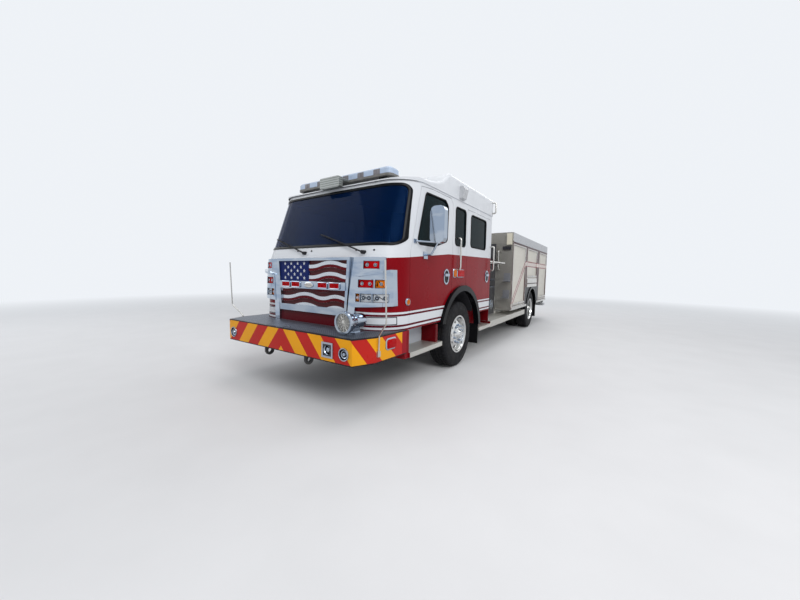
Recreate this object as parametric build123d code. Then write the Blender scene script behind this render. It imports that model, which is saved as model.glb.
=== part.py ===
from build123d import *
import os
from math import cos, radians, sin, sqrt

os.makedirs("parts", exist_ok=True)

# Fire engine with a four-door cab, a side-mount pump and a hose body with roller shutters.
# X runs to the vehicle's left, Y to the rear, Z up from the ground. All sizes are in millimetres.
# Stations along the vehicle are named as distances behind the front axle and turned into Y by at().

# Chassis
FRONT_AXLE = -2550.0
WHEELBASE = 5090.0
TYRE_RADIUS = 535.0
RIM_RADIUS = 290.0
BEAD_SHARE = 0.42
FRONT_TYRE_WIDTH = 315.0
REAR_TYRE_WIDTH = 285.0
FRONT_WHEEL_X = 1033.0
REAR_OUTER_X = 1082.0
DUAL_SPACING = 340.0
KING_PIN_X = 930.0
RAIL_OUTER = 430.0
RAIL_FLANGE = 80.0
RAIL_WALL = 10.0
RAIL_BOTTOM = 620.0
RAIL_TOP = 880.0
FRAME_FRONT = -1950.0
FRAME_REAR = 7290.0
EXTENSION_REAR = -1700.0
EXTENSION_BOTTOM = 580.0
EXTENSION_TOP = 800.0
CROSSMEMBERS = [-1640.0, 1300.0, 2900.0, 4300.0, 5900.0, 7200.0]
CROSSMEMBER_BOTTOM = 760.0
CROSSMEMBER_TOP = 860.0
# Station of each tow eye's bore and the bottom of the channel above it
TOW_EYES = [(-2420.0, EXTENSION_BOTTOM), (7200.0, RAIL_BOTTOM)]
TOW_EYE_Z = 500.0
TOW_EYE_BORE = 27.0
TOW_EYE_THICKNESS = 26.0

# Cab
CAB_HALF = 1220.0
CAB_WALL = 45.0
CAB_CORNER = 400.0
CAB_BOW = 12.0
CAB_REAR = 1365.0
CAB_BOTTOM = 830.0
BELT = 1690.0
ROOF_JOINT = 2640.0
ROOF_TOP = 2952.0
ROOF_WALL = 40.0
# Height, and distance of the front of the cab from the front axle
CAB_LEVELS = [(CAB_BOTTOM, -2055.0), (BELT, -2012.0), (ROOF_JOINT, -1656.0)]
# Station and height of the roof's top along the vehicle
ROOF_LINE = [
    (-1700.0, 2650.0), (-1610.0, 2665.0), (-1350.0, 2695.0), (-1120.0, 2722.0), (-920.0, 2756.0),
    (-770.0, 2805.0), (-650.0, 2880.0), (-560.0, ROOF_TOP), (CAB_REAR, ROOF_TOP),
]
ROOF_SHOULDER = 46.0
LIGHTBAR_STATION = -1430.0
LIGHTBAR_HALF = 880.0
LIGHTBAR_DEPTH = 260.0
LIGHTBAR_BOTTOM = 2736.0
LIGHTBAR_TOP = 2850.0
DOOR_GAP = 6.0
DOOR_HINGE_Y = -1592.0
DOOR_RAKE_FOOT = 1745.0
DOOR_TOP = 2590.0
ARCH_RADIUS = 815.0
FLARE_OUTER = 800.0
FLARE_INNER = 712.0
WHEELHOUSE = 700.0
FLOOR_TOP = 890.0
FLOOR_THICKNESS = 30.0
TUNNEL_HALF = 500.0
TUNNEL_TOP = 1450.0

# Windows, doors and cab front, as stations and heights from the side or widths and heights from the front
FRONT_DOOR = [
    (DOOR_HINGE_Y, CAB_BOTTOM), (DOOR_HINGE_Y, DOOR_RAKE_FOOT), (DOOR_HINGE_Y + 250.0, DOOR_TOP),
    (-1050.0, DOOR_TOP + 20), (-500.0, DOOR_TOP + 20), (-412.0, DOOR_TOP - 70), (-412.0, CAB_BOTTOM),
]
REAR_DOOR = [
    (150.0, CAB_BOTTOM), (150.0, DOOR_TOP - 30), (1262.0, DOOR_TOP - 30), (1262.0, CAB_BOTTOM),
]
FRONT_DOOR_GLASS = [
    (-1440.0, 1880.0), (-1240.0, 2535.0), (-675.0, 2542.0), (-585.0, 2475.0), (-600.0, 1985.0),
    (-1000.0, 1880.0),
]
REAR_DOOR_GLASS = [(299.0, 1975.0), (299.0, 2500.0), (1040.0, 2500.0), (1040.0, 1975.0)]
NARROW_GLASS = [(-320.0, 1955.0), (-320.0, 2525.0), (75.0, 2525.0), (75.0, 1955.0)]
WINDSCREEN = [(-1196.0, 1842.0), (-1153.0, 2584.0), (1153.0, 2584.0), (1196.0, 1842.0)]
WINDOW_CORNER = 60.0
REAR_WINDOWS_X = 560.0
REAR_WINDOW_HALF = 230.0
REAR_WINDOW_BOTTOM = 2080.0
REAR_WINDOW_TOP = 2460.0
# Station and height of each door's handle
HANDLES = {"front": (-605.0, 1472.0), "rear": (1155.0, 1480.0)}

# Grille
GRILLE_OPENING = [(-610.0, 1010.0), (-650.0, 1660.0), (650.0, 1660.0), (610.0, 1010.0)]
GRILLE_FRAME = [(-690.0, 1690.0), (-632.0, 985.0), (632.0, 985.0), (690.0, 1690.0)]
GRILLE_INNER = [(-645.0, 1655.0), (-600.0, 1070.0), (600.0, 1070.0), (645.0, 1655.0)]
GRILLE_FRONT = -2075.0
GRILLE_BACKING = -2035.0
GRILLE_BAR_BOTTOM = 1292.0
GRILLE_BAR_TOP = 1388.0
SLAT_FRONT = -2053.0
# Middle height of each slat, and where its wave crosses that height on the way, from trough to crest and on
LOWER_WAVE = [-760.0, -300.0, 70.0, 325.0, 560.0, 760.0]
UPPER_WAVE = [-190.0, 170.0, 520.0, 760.0]
SLATS = [
    (1040.0, LOWER_WAVE), (1177.0, LOWER_WAVE), (1314.0, LOWER_WAVE), (1448.0, UPPER_WAVE), (1586.0, UPPER_WAVE),
]
SLAT_DEPTH = 80.0
WAVE_SHARE = 0.07
STAR_FIELD_EDGE = -45.0
STAR_RADIUS = 25.0
STAR_PITCH = 132.0
# Height and count of each row of stars
STAR_ROWS = [(1428.0, 4), (1476.0, 3), (1524.0, 4), (1572.0, 3), (1620.0, 4)]
BAR_LAMPS = [-465.0, -262.0, 250.0, 458.0]

# Lamp pockets on the left of the cab's front: x0, x1, z0, z1
LAMP_POCKETS = [
    (866.0, 1050.0, 1556.0, 1644.0), (806.0, 1000.0, 1338.0, 1430.0), (1016.0, 1120.0, 1338.0, 1430.0),
    (775.0, 832.0, 1172.0, 1268.0), (844.0, 984.0, 1172.0, 1268.0), (996.0, 1146.0, 1172.0, 1268.0),
]

# Bumper
BUMPER_FRONT = -2522.0
BUMPER_TOP = 843.0
BUMPER_BOTTOM = 560.0
BUMPER_WALL = 30.0
# Half-width and station of the bumper's plan, from the middle to its rear end
BUMPER_PLAN = [(1139.0, BUMPER_FRONT), (1244.0, -2269.0), (1255.0, -1700.0)]
DECK_THICKNESS = 10.0
LID_HALF = 325.0
LID_FRONT = -2485.0
LID_REAR = -2130.0
HORNS_X = 1030.0
HORN_Z = 676.0
HORN_HOLE = 68.0

# Pump module and body
PUMP_HALF = 860.0
PUMP_FRONT = 1400.0
PUMP_REAR = 2853.0
PUMP_BOTTOM = 480.0
BOARD_BOTTOM = 470.0
BOARD_TOP = 590.0
BOARD_REAR = 4300.0
STEP_BOTTOM = 482.0
STEP_TOP = 545.0
PUMP_TOP = 1740.0
CROSSLAY_TOP = 2260.0
BODY_HALF = 1255.0
BODY_FRONT = 2853.0
BODY_REAR = 7323.0
BODY_BOTTOM = 680.0
BODY_TOP = 2517.0
BODY_WALL = 30.0
LOCKER_INNER = 700.0
BED_FLOOR = 1780.0
TANK_HALF = 550.0
REAR_ARCH = 660.0
HOUSING_WALL = 15.0
TRIM = 28.0
SLAT_PITCH = 36.0
SLAT_GROOVE = 5.0
# Front, rear, bottom and top of each roller shutter on a side
SHUTTERS = [
    (2925.0, 4160.0, 770.0, 2230.0),
    (4385.0, 5640.0, 1450.0, 2225.0),
    (6020.0, 7210.0, 790.0, 2220.0),
]
TAILBOARD_REAR = 7634.0
TAILBOARD_TOP = 560.0
TAILBOARD_BOTTOM = 480.0
# Brackets of the tailboard stay above the tow eyes, which a pin enters from the side
TAILBOARD_BRACKET_BOTTOM = 600.0

# Width of the seat's middle, station of its back's rear face, height of the cushion's top
SEATS = [
    (800.0, -440.0, 1400.0), (-800.0, -440.0, 1400.0),
    (820.0, 1300.0, 1330.0), (0.0, 1300.0, 1330.0), (-820.0, 1300.0, 1330.0),
]
# Middle station and height, width and height of each side marker
SIDE_MARKERS = [(-312.0, 1525.0, 90.0, 110.0), (-92.0, 1526.0, 235.0, 108.0)]
# Width from and to, wall's station, way out along the vehicle and height of each folding step on the left
FOLDING_STEPS = [
    (1060.0, 1210.0, BODY_FRONT, -150.0, 975.0), (1070.0, 1220.0, BODY_FRONT, -150.0, 1375.0),
    (800.0, 960.0, BODY_REAR, 150.0, 1000.0), (800.0, 960.0, BODY_REAR, 150.0, 1400.0),
    (800.0, 960.0, BODY_REAR, 150.0, 1800.0),
]
# Width, station and height of each fitting on the left pump panel, and its radius
DISCHARGES = [(1700.0, 1120.0), (1960.0, 1120.0), (1700.0, 1330.0)]
INTAKE = (2300.0, 850.0)
INTAKE_RADIUS = 89.0
DISCHARGE_RADIUS = 39.0
GAUGES = [(1650.0, 1580.0), (1850.0, 1580.0), (2050.0, 1580.0)]
LEVERS = [(2170.0 + 85.0 * column, height) for height in (1240.0, 1400.0) for column in range(6)]


def at(station):
    """Y of a distance behind the front axle."""
    return FRONT_AXLE + station


def block(x0, x1, y0, y1, z0, z1):
    """A box from station y0 to y1, between two widths and two heights."""
    centre = ((x0 + x1) / 2, at((y0 + y1) / 2), (z0 + z1) / 2)
    return Pos(*centre) * Box(x1 - x0, y1 - y0, z1 - z0)


def side_outline(points, radius=0.0):
    """A closed outline of stations and heights, seen from the side."""
    face = make_face(Polyline(*[(at(y), z) for y, z in points], close=True))
    if radius:
        face = fillet(face.vertices(), radius)
    return face


def along_x(face, x0, x1):
    """An outline seen from the side, as a solid from x0 to x1."""
    return extrude(Plane.YZ.offset(x0) * face, amount=x1 - x0, dir=(1, 0, 0))


def along_y(face, y0, y1):
    """An outline seen from the front, as a solid from station y0 to y1."""
    return extrude(Plane.XZ.offset(-at(y1)) * face, amount=y1 - y0, dir=(0, -1, 0))


def along_z(face, z0, z1):
    """An outline seen from above, as a solid from z0 to z1."""
    return extrude(Plane.XY.offset(z0) * face, amount=z1 - z0, dir=(0, 0, 1))


def front_outline(points, radius=0.0):
    """A closed outline of widths and heights, seen from the front."""
    face = make_face(Polyline(*points, close=True))
    if radius:
        face = fillet(face.vertices(), radius)
    return face


def both_sides(shape):
    """A shape on the left with its mirror image on the right."""
    return [shape, mirror(shape, about=Plane.YZ)]


def rod_x(radius, x0, x1, station, height):
    """A round bar along X."""
    bar = Plane.YZ.offset(x0) * Pos(at(station), height) * Circle(radius)
    return extrude(bar, amount=x1 - x0)


def rod_y(radius, x, y0, y1, height):
    """A round bar along Y."""
    bar = Plane.XZ.offset(-at(y1)) * Pos(x, height) * Circle(radius)
    return extrude(bar, amount=y1 - y0)


def rod_z(radius, x, station, z0, z1):
    """A round bar along Z."""
    bar = Plane.XY.offset(z0) * Pos(x, at(station)) * Circle(radius)
    return extrude(bar, amount=z1 - z0)


def bent_rod(points, diameter, bend):
    """A round bar along straight runs with round bends; points are widths, stations and heights."""
    path = FilletPolyline(*[(x, at(y), z) for x, y, z in points], radius=bend)
    return sweep(Plane(origin=path @ 0, z_dir=path % 0) * Circle(diameter / 2), path)


def straight_rod(start, end, diameter):
    """A round bar between two points of widths, stations and heights."""
    (x0, y0, z0), (x1, y1, z1) = start, end
    foot = Vector(x0, at(y0), z0)
    run = Vector(x1, at(y1), z1) - foot
    return extrude(Plane(origin=foot, z_dir=run) * Circle(diameter / 2), amount=run.length)


def spun(profile, x, station):
    """A closed profile of offsets from x and radii, turned about an axle at the height of the wheels."""
    face = make_face(Polyline(*profile, close=True))
    return Pos(x, at(station), TYRE_RADIUS) * revolve(face, Axis.X)


# Chassis frame and running gear


def channel(y0, y1, z0, z1):
    """One frame channel on the left, open to the middle."""
    inner = RAIL_OUTER - RAIL_FLANGE
    outer = block(inner, RAIL_OUTER, y0, y1, z0, z1)
    hollow = block(inner, RAIL_OUTER - RAIL_WALL, y0, y1, z0 + RAIL_WALL, z1 - RAIL_WALL)
    return outer - hollow


def frame_rails():
    """Left and right frame channels with their front extensions and tow eyes."""
    rail = channel(FRAME_FRONT, FRAME_REAR, RAIL_BOTTOM, RAIL_TOP)
    rail += channel(BUMPER_FRONT + BUMPER_WALL, EXTENSION_REAR, EXTENSION_BOTTOM, EXTENSION_TOP)
    inner = RAIL_OUTER - RAIL_FLANGE + 15.0
    outer = inner + TOW_EYE_THICKNESS
    for station, reach in TOW_EYES:
        eye = block(inner, outer, station - 60, station + 60, TOW_EYE_Z, reach + 5)
        eye += rod_x(60.0, inner, outer, station, TOW_EYE_Z)
        rail += eye - rod_x(TOW_EYE_BORE, inner - 1, outer + 1, station, TOW_EYE_Z)
    return both_sides(rail)


def crossmembers():
    """Members between the webs of the frame channels."""
    web = RAIL_OUTER - RAIL_WALL
    members = [block(-web, web, -2105.0, -2075.0, EXTENSION_BOTTOM + 20, EXTENSION_TOP - 20)]
    for station in CROSSMEMBERS:
        members.append(block(-web, web, station - 40, station + 40, CROSSMEMBER_BOTTOM, CROSSMEMBER_TOP))
    return members


def front_axle():
    beam_half = 760.0
    beam_bottom = 400.0
    beam_top = 490.0
    # Drop beam seen from the front: low in the middle, rising to the king pins
    profile = [
        (-KING_PIN_X, 505.0), (-beam_half, 490.0), (-600.0, beam_bottom), (600.0, beam_bottom),
        (beam_half, 490.0), (KING_PIN_X, 505.0), (KING_PIN_X, 565.0), (beam_half - 40, 565.0),
        (560.0, beam_top), (-560.0, beam_top), (40 - beam_half, 565.0), (-KING_PIN_X, 565.0),
    ]
    axle = along_y(front_outline(profile), -50.0, 50.0)
    for side in (-1, 1):
        axle += rod_z(48.0, side * KING_PIN_X, 0.0, 490.0, 580.0)
    for side in (-1, 1):
        axle -= rod_z(19.0, side * KING_PIN_X, 0.0, 480.0, 590.0)
    return axle


def knuckle():
    """Left steering knuckle: yoke, king pin and spindle."""
    ears = block(KING_PIN_X - 45, 1010.0, -48.0, 48.0, 586.0, 612.0)
    ears += block(KING_PIN_X - 45, 1010.0, -48.0, 48.0, 458.0, 484.0)
    yoke = ears + block(985.0, 1012.0, -48.0, 48.0, 458.0, 612.0)
    yoke += rod_z(18.0, KING_PIN_X, 0.0, 458.0, 612.0)
    yoke += rod_x(40.0, 1010.0, 1130.0, 0.0, TYRE_RADIUS)
    return yoke


def rear_axle():
    housing_radius = 66.0
    bowl_radius = 190.0
    nose = 330.0
    axle = rod_x(housing_radius, -560.0, 560.0, WHEELBASE, TYRE_RADIUS)
    axle += rod_x(50.0, -1000.0, 1000.0, WHEELBASE, TYRE_RADIUS)
    axle += rod_x(bowl_radius, -70.0, 120.0, WHEELBASE, TYRE_RADIUS)
    axle += rod_y(110.0, 20.0, WHEELBASE - nose, WHEELBASE - 100.0, TYRE_RADIUS + 20)
    shaft_diameter = 104.0
    height = TYRE_RADIUS + 20
    return axle + straight_rod((20.0, WHEELBASE - nose + 5, height), (0.0, 1210.0, 670.0), shaft_diameter)


def leaf_springs():
    """Four packs of long leaves, each a shallow arch hung below or beside its rail."""
    packs = []
    # Inner face, outer face, axle station, height over the axle, height at the eyes, half length
    for x0, x1, station, middle, ends, half in [
        (352.0, 428.0, 0.0, 490.0, 575.0, 640.0),
        (RAIL_OUTER, RAIL_OUTER + 76, WHEELBASE, 601.0, 690.0, 720.0),
    ]:
        thickness = 45.0
        top = ThreePointArc(
            (at(station - half), ends), (at(station), middle), (at(station + half), ends)
        )
        bottom = ThreePointArc(
            (at(station + half), ends + thickness / 2),
            (at(station), middle + 2 * thickness),
            (at(station - half), ends + thickness / 2),
        )
        front = Line(bottom @ 1, top @ 0)
        rear = Line(top @ 1, bottom @ 0)
        pack = along_x(make_face(Wire([top, rear, bottom, front])), x0, x1)
        for end in (station - half + 20, station + half - 20):
            hanger_top = RAIL_BOTTOM if x1 < RAIL_OUTER else RAIL_TOP - 40
            pack += block(x0, x1, end - 35, end + 35, ends - 10, hanger_top)
        packs += both_sides(pack)
    return packs


def engine_block():
    engine = block(-330.0, 330.0, -1100.0, 480.0, 640.0, 1370.0)
    gearbox = block(-230.0, 230.0, 470.0, 1200.0, 560.0, 1010.0)
    web = RAIL_OUTER - RAIL_WALL
    for station in (-700.0, 900.0):
        engine += block(-web, web, station - 40, station + 40, 690.0, 750.0)
    return engine + gearbox


def fuel_tank():
    """Tank between the channels behind the rear axle."""
    inner = RAIL_OUTER - RAIL_FLANGE
    return fillet(block(-inner, inner, 5960.0, 7140.0, 520.0, 740.0).edges().filter_by(Axis.X), 50.0)


def exhaust():
    """Silencer behind the right front wheel, with its pipe to an outlet ahead of the rear wheels."""
    x = -640.0
    low = 405.0
    points = [(x, 1140.0, 560.0), (x, 1400.0, low), (x, 4080.0, low), (-1190.0, 4260.0, low)]
    pipe = bent_rod(points, 100.0, 120.0)
    silencer = rod_y(95.0, x, 800.0, 1160.0, 600.0)
    hangers = block(x - 15, -RAIL_OUTER, 900.0, 930.0, 640.0, 670.0)
    for station in (1700.0, 3300.0):
        hangers += block(x - 15, -RAIL_OUTER, station, station + 30, low + 30, 472.0)
        hangers += block(-RAIL_OUTER - 16, -RAIL_OUTER, station, station + 30, low + 30, 700.0)
    return pipe + silencer + hangers


def tyre(width):
    half = width / 2
    bead = BEAD_SHARE * width
    tread = TYRE_RADIUS
    left = ThreePointArc((-bead, RIM_RADIUS), (-half, 0.5 * (RIM_RADIUS + tread)), (-0.45 * width, tread - 28))
    right = ThreePointArc((0.45 * width, tread - 28), (half, 0.5 * (RIM_RADIUS + tread)), (bead, RIM_RADIUS))
    crown = Polyline(left @ 1, (-0.38 * width, tread - 4), (0, tread), (0.38 * width, tread - 4), right @ 0)
    base = Line(right @ 1, left @ 0)
    return revolve(make_face(Wire([left, *crown.edges(), right, base])), Axis.X)


def rim_barrel(tyre_width):
    """Closed profile of a rim, from lip to lip either side of the tyre's beads."""
    lip = RIM_RADIUS + 16
    bead = BEAD_SHARE * tyre_width
    return [
        (bead + 17, lip), (bead + 17, RIM_RADIUS - 8), (bead - 20, RIM_RADIUS - 20),
        (-bead - 17, RIM_RADIUS - 20), (-bead - 17, lip), (-bead - 8, lip), (-bead, RIM_RADIUS),
        (bead, RIM_RADIUS), (bead + 8, lip),
    ]


def front_wheel():
    """Left front wheel: rim, convex disc with hand holes, hub and cap."""
    disc = [
        (70.0, 272.0), (104.0, 225.0), (132.0, 168.0), (132.0, 60.0), (112.0, 60.0),
        (112.0, 160.0), (85.0, 215.0), (50.0, 272.0),
    ]
    hub = [(-5.0, 118.0), (113.0, 118.0), (150.0, 78.0), (196.0, 62.0), (196.0, 0.0), (110.0, 0.0),
           (110.0, 48.0), (-5.0, 48.0)]
    wheel = spun(rim_barrel(FRONT_TYRE_WIDTH), FRONT_WHEEL_X, 0.0) + spun(disc, FRONT_WHEEL_X, 0.0)
    wheel += spun(hub, FRONT_WHEEL_X, 0.0)
    return wheel - hand_holes(FRONT_WHEEL_X + 30, FRONT_WHEEL_X + 160, 0.0, 218.0)


def hand_holes(x0, x1, station, circle):
    holes = []
    count = 10
    for turn in range(count):
        angle = radians(360.0 / count * turn)
        holes.append(
            Plane.YZ.offset(x0)
            * Pos(at(station) + circle * cos(angle), TYRE_RADIUS + circle * sin(angle))
            * extrude(Circle(27.0), amount=x1 - x0)
        )
    return holes


def rear_wheels():
    """Left twin wheels: two rims back to back, brake drum and hub."""
    outer_disc = [
        (-75.0, 272.0), (-120.0, 225.0), (-150.0, 168.0), (-150.0, 60.0), (-168.0, 60.0),
        (-168.0, 175.0), (-140.0, 235.0), (-98.0, 272.0),
    ]
    wheels = spun(rim_barrel(REAR_TYRE_WIDTH), REAR_OUTER_X, WHEELBASE)
    wheels += spun(outer_disc, REAR_OUTER_X, WHEELBASE)
    wheels -= hand_holes(REAR_OUTER_X - 180, REAR_OUTER_X - 60, WHEELBASE, 215.0)
    inner_x = REAR_OUTER_X - DUAL_SPACING
    inner_disc = [(-width, radius) for width, radius in outer_disc]
    wheels += spun(rim_barrel(REAR_TYRE_WIDTH), inner_x, WHEELBASE)
    wheels += spun(inner_disc, inner_x, WHEELBASE)
    hub = [(-340.0, 70.0), (-340.0, 205.0), (-175.0, 205.0), (-160.0, 150.0), (-130.0, 140.0),
           (-70.0, 118.0), (20.0, 80.0), (20.0, 0.0), (-60.0, 0.0), (-60.0, 58.0), (-200.0, 58.0),
           (-200.0, 190.0), (-330.0, 190.0), (-330.0, 70.0)]
    return wheels + spun(hub, REAR_OUTER_X, WHEELBASE)


# Cab


def cab_front_at(height):
    """Distance of the cab's front from the front axle at a height."""
    for (z0, y0), (z1, y1) in zip(CAB_LEVELS, CAB_LEVELS[1:]):
        if height <= z1:
            break
    return y0 + (y1 - y0) * (height - z0) / (z1 - z0)


def cab_plan(front, inset):
    """Plan of the cab: flat sides, a rounded corner each side and a nearly flat front."""
    half = CAB_HALF - inset
    shoulder = CAB_HALF - CAB_CORNER
    nose = at(front) + inset
    side = at(front) + CAB_BOW + CAB_CORNER
    edge = side - (CAB_CORNER - inset)
    rear = at(CAB_REAR) - inset
    turn = (CAB_CORNER - inset) / sqrt(2.0)
    left = ThreePointArc((half, side), (shoulder + turn, side - turn), (shoulder, edge))
    face = ThreePointArc((shoulder, edge), (0, nose), (-shoulder, edge))
    right = ThreePointArc((-shoulder, edge), (-shoulder - turn, side - turn), (-half, side))
    back = Polyline((-half, side), (-half, rear), (half, rear), (half, side))
    return Wire([left, face, right, *back.edges()])


def cab_form(inset):
    """The cab's outer form up to the roof joint, moved inwards by inset."""
    sections = []
    for height, front in CAB_LEVELS:
        sections.append(Pos(0, 0, height) * Face(cab_plan(front, inset)))
    return loft(sections, ruled=True)


def rake_line(offset):
    """Side outline of everything ahead of the front doors' front edge, moved forwards by offset."""
    top_y = DOOR_HINGE_Y + 250.0
    return side_outline([
        (DOOR_HINGE_Y - offset, 700.0), (DOOR_HINGE_Y - offset, DOOR_RAKE_FOOT), (top_y - offset, DOOR_TOP),
        (top_y - offset, 3100.0), (-2600.0, 3100.0), (-2600.0, 700.0),
    ])


def arch_cylinder(radius):
    return rod_x(radius, -CAB_HALF - 60, CAB_HALF + 60, 0.0, TYRE_RADIUS)


def windscreen_tool():
    """The space of the windscreen: its outline from the front, cut off behind the pillars."""
    outline = along_y(front_outline(WINDSCREEN, 90.0), -2300.0, -1200.0)
    ahead = side_outline([(-1725.0, 1800.0), (-1470.0, 2620.0), (-2300.0, 2620.0), (-2300.0, 1800.0)])
    return outline & along_x(ahead, -1300.0, 1300.0)


def cab_front():
    walls = cab_form(0) - cab_form(CAB_WALL)
    front = walls & along_x(rake_line(DOOR_GAP), -CAB_HALF - 10, CAB_HALF + 10)
    front -= windscreen_tool()
    return front - along_y(front_outline(GRILLE_OPENING), -2200.0, -1900.0)


def cab_walls_behind():
    """Side walls behind the front doors' front edge, without the rear wall."""
    walls = cab_form(0) - cab_form(CAB_WALL)
    walls -= along_x(rake_line(DOOR_GAP), -CAB_HALF - 10, CAB_HALF + 10)
    return walls - block(-CAB_HALF, CAB_HALF, CAB_REAR - CAB_WALL, CAB_REAR + 10, 700.0, 2800.0)


def door_space(outline):
    """A door's outline through the wall, grown by the gap around it."""
    ys = [y for y, _ in outline]
    face = offset(side_outline(outline), DOOR_GAP, kind=Kind.INTERSECTION)
    inner = CAB_HALF - 90.0
    outer = CAB_HALF + 40.0
    below = block(inner, outer, min(ys) - DOOR_GAP, max(ys) + DOOR_GAP, 700.0, CAB_BOTTOM + 5)
    return along_x(face, inner, outer) + below


def cab_sides():
    side = cab_walls_behind() & block(0.0, CAB_HALF + 10, -2000.0, CAB_REAR, 700.0, 2800.0)
    side -= door_space(FRONT_DOOR)
    side -= door_space(REAR_DOOR)
    side -= arch_cylinder(FLARE_OUTER)
    side -= along_x(side_outline(NARROW_GLASS, WINDOW_CORNER), 1000.0, 1300.0)
    return both_sides(side)


def rear_windows(y0, y1):
    """The two windows of the cab's rear wall, between two stations."""
    windows = []
    for x in (-REAR_WINDOWS_X, REAR_WINDOWS_X):
        x0 = x - REAR_WINDOW_HALF
        x1 = x + REAR_WINDOW_HALF
        z0 = REAR_WINDOW_BOTTOM
        z1 = REAR_WINDOW_TOP
        outline = [(x0, z0), (x0, z1), (x1, z1), (x1, z0)]
        windows.append(along_y(front_outline(outline, WINDOW_CORNER), y0, y1))
    return windows


def cab_rear_wall():
    wall = block(-CAB_HALF, CAB_HALF, CAB_REAR - CAB_WALL, CAB_REAR, CAB_BOTTOM, ROOF_JOINT)
    wall -= block(-TUNNEL_HALF, TUNNEL_HALF, CAB_REAR - 60, CAB_REAR + 10, CAB_BOTTOM - 5, 1080.0)
    return wall - rear_windows(CAB_REAR - 60, CAB_REAR + 10)


def door_handle(station, height):
    """Tall oval plate with a hollow behind a pull lever."""
    place = Pos(at(station), height) * Rot(0, 0, 90)
    plate = along_x(place * SlotOverall(225.0, 170.0), CAB_HALF - 5, CAB_HALF + 10)
    plate -= along_x(place * SlotOverall(180.0, 126.0), CAB_HALF + 2, CAB_HALF + 20)
    return plate + block(CAB_HALF, CAB_HALF + 26, station - 72, station + 72, height + 6, height + 44)


def cab_door(outline, glass, handle):
    """A left door, as thick as the wall, with its window cut and its handle on."""
    walls = cab_form(0) - cab_form(CAB_WALL)
    door = walls & along_x(side_outline(outline), 900.0, CAB_HALF + 20)
    door -= arch_cylinder(ARCH_RADIUS)
    door -= along_x(side_outline(glass, WINDOW_CORNER), 900.0, 1300.0)
    return door + door_handle(*handle)


def pane(outline, inset, thickness):
    """Window glass on the left, following the wall."""
    sheet = cab_form(inset) - cab_form(inset + thickness)
    return sheet & along_x(side_outline(outline, WINDOW_CORNER), 900.0, CAB_HALF + 20)


def windscreen_glass():
    return (cab_form(5.0) - cab_form(15.0)) & windscreen_tool()


def cab_glass():
    narrow = both_sides(pane(NARROW_GLASS, 12.0, 8.0))
    return [windscreen_glass(), *narrow, *rear_windows(CAB_REAR - 28, CAB_REAR - 20)]


def roof_section(station, top, inset):
    """Section of the roof at a station, with rounded shoulders."""
    radius = min(ROOF_SHOULDER, 0.6 * (top - ROOF_JOINT)) - inset / 2
    half = CAB_HALF + 12.0 - inset
    low = ROOF_JOINT - inset
    turn = radius * (1 - 1 / sqrt(2.0))
    z = top - inset
    arc_right = ThreePointArc((half, z - radius), (half - turn, z - turn), (half - radius, z))
    arc_left = ThreePointArc((radius - half, z), (turn - half, z - turn), (-half, z - radius))
    edges = [
        arc_right, Line((half - radius, z), (radius - half, z)), arc_left,
        Line((-half, z - radius), (-half, low)), Line((-half, low), (half, low)),
        Line((half, low), (half, z - radius)),
    ]
    return Plane.XZ.offset(-at(station)) * Face(Wire(edges))


def roof_form():
    """The roof's outer form, standing a little proud of the walls."""
    form = loft([roof_section(y, z, 0.0) for y, z in ROOF_LINE], ruled=True)
    return form & along_z(Face(cab_plan(CAB_LEVELS[-1][1] - 14, -12.0)), ROOF_JOINT - 5, ROOF_TOP + 5)


def cab_roof():
    high = [(y, z) for y, z in ROOF_LINE if z > ROOF_JOINT + 2 * ROOF_WALL]
    inner_line = [(y + 60 if y < CAB_REAR else y - ROOF_WALL, z) for y, z in high]
    inner = loft([roof_section(y, z, ROOF_WALL) for y, z in inner_line], ruled=True)
    inner &= along_z(Face(cab_plan(CAB_LEVELS[-1][1], CAB_WALL)), ROOF_JOINT - 5, ROOF_TOP + 5)
    return roof_form() - inner


def cab_floor():
    """Floor with a wheelhouse over each front wheel, the engine tunnel between them and its firewall."""
    low = FLOOR_TOP - FLOOR_THICKNESS
    edge = CAB_HALF - CAB_WALL - 8
    front = -2100.0
    rear = CAB_REAR - CAB_WALL
    slab = block(TUNNEL_HALF - 20, edge, front, rear, low, FLOOR_TOP)
    arch = rod_x(WHEELHOUSE + FLOOR_THICKNESS, TUNNEL_HALF - 20, edge, 0.0, TYRE_RADIUS)
    arch &= block(0.0, edge, -900.0, 900.0, low, 1400.0)
    slab = slab + arch - rod_x(WHEELHOUSE, TUNNEL_HALF - 30, edge + 5, 0.0, TYRE_RADIUS)
    wall = block(TUNNEL_HALF - 20, TUNNEL_HALF, front, rear, low, TUNNEL_TOP)
    floor = slab + wall
    floor += mirror(floor, about=Plane.YZ)
    floor += block(-TUNNEL_HALF, TUNNEL_HALF, front, 600.0, TUNNEL_TOP - 25, TUNNEL_TOP)
    floor += block(-TUNNEL_HALF, TUNNEL_HALF, 575.0, rear, 1080.0, 1105.0)
    floor += block(-TUNNEL_HALF, TUNNEL_HALF, 575.0, 600.0, 1080.0, TUNNEL_TOP)
    rear_tunnel = block(-TUNNEL_HALF - 1, TUNNEL_HALF + 1, 600.0, rear + 1, 1105.0, TUNNEL_TOP + 1)
    return (floor - rear_tunnel) & cab_form(CAB_WALL)


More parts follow.
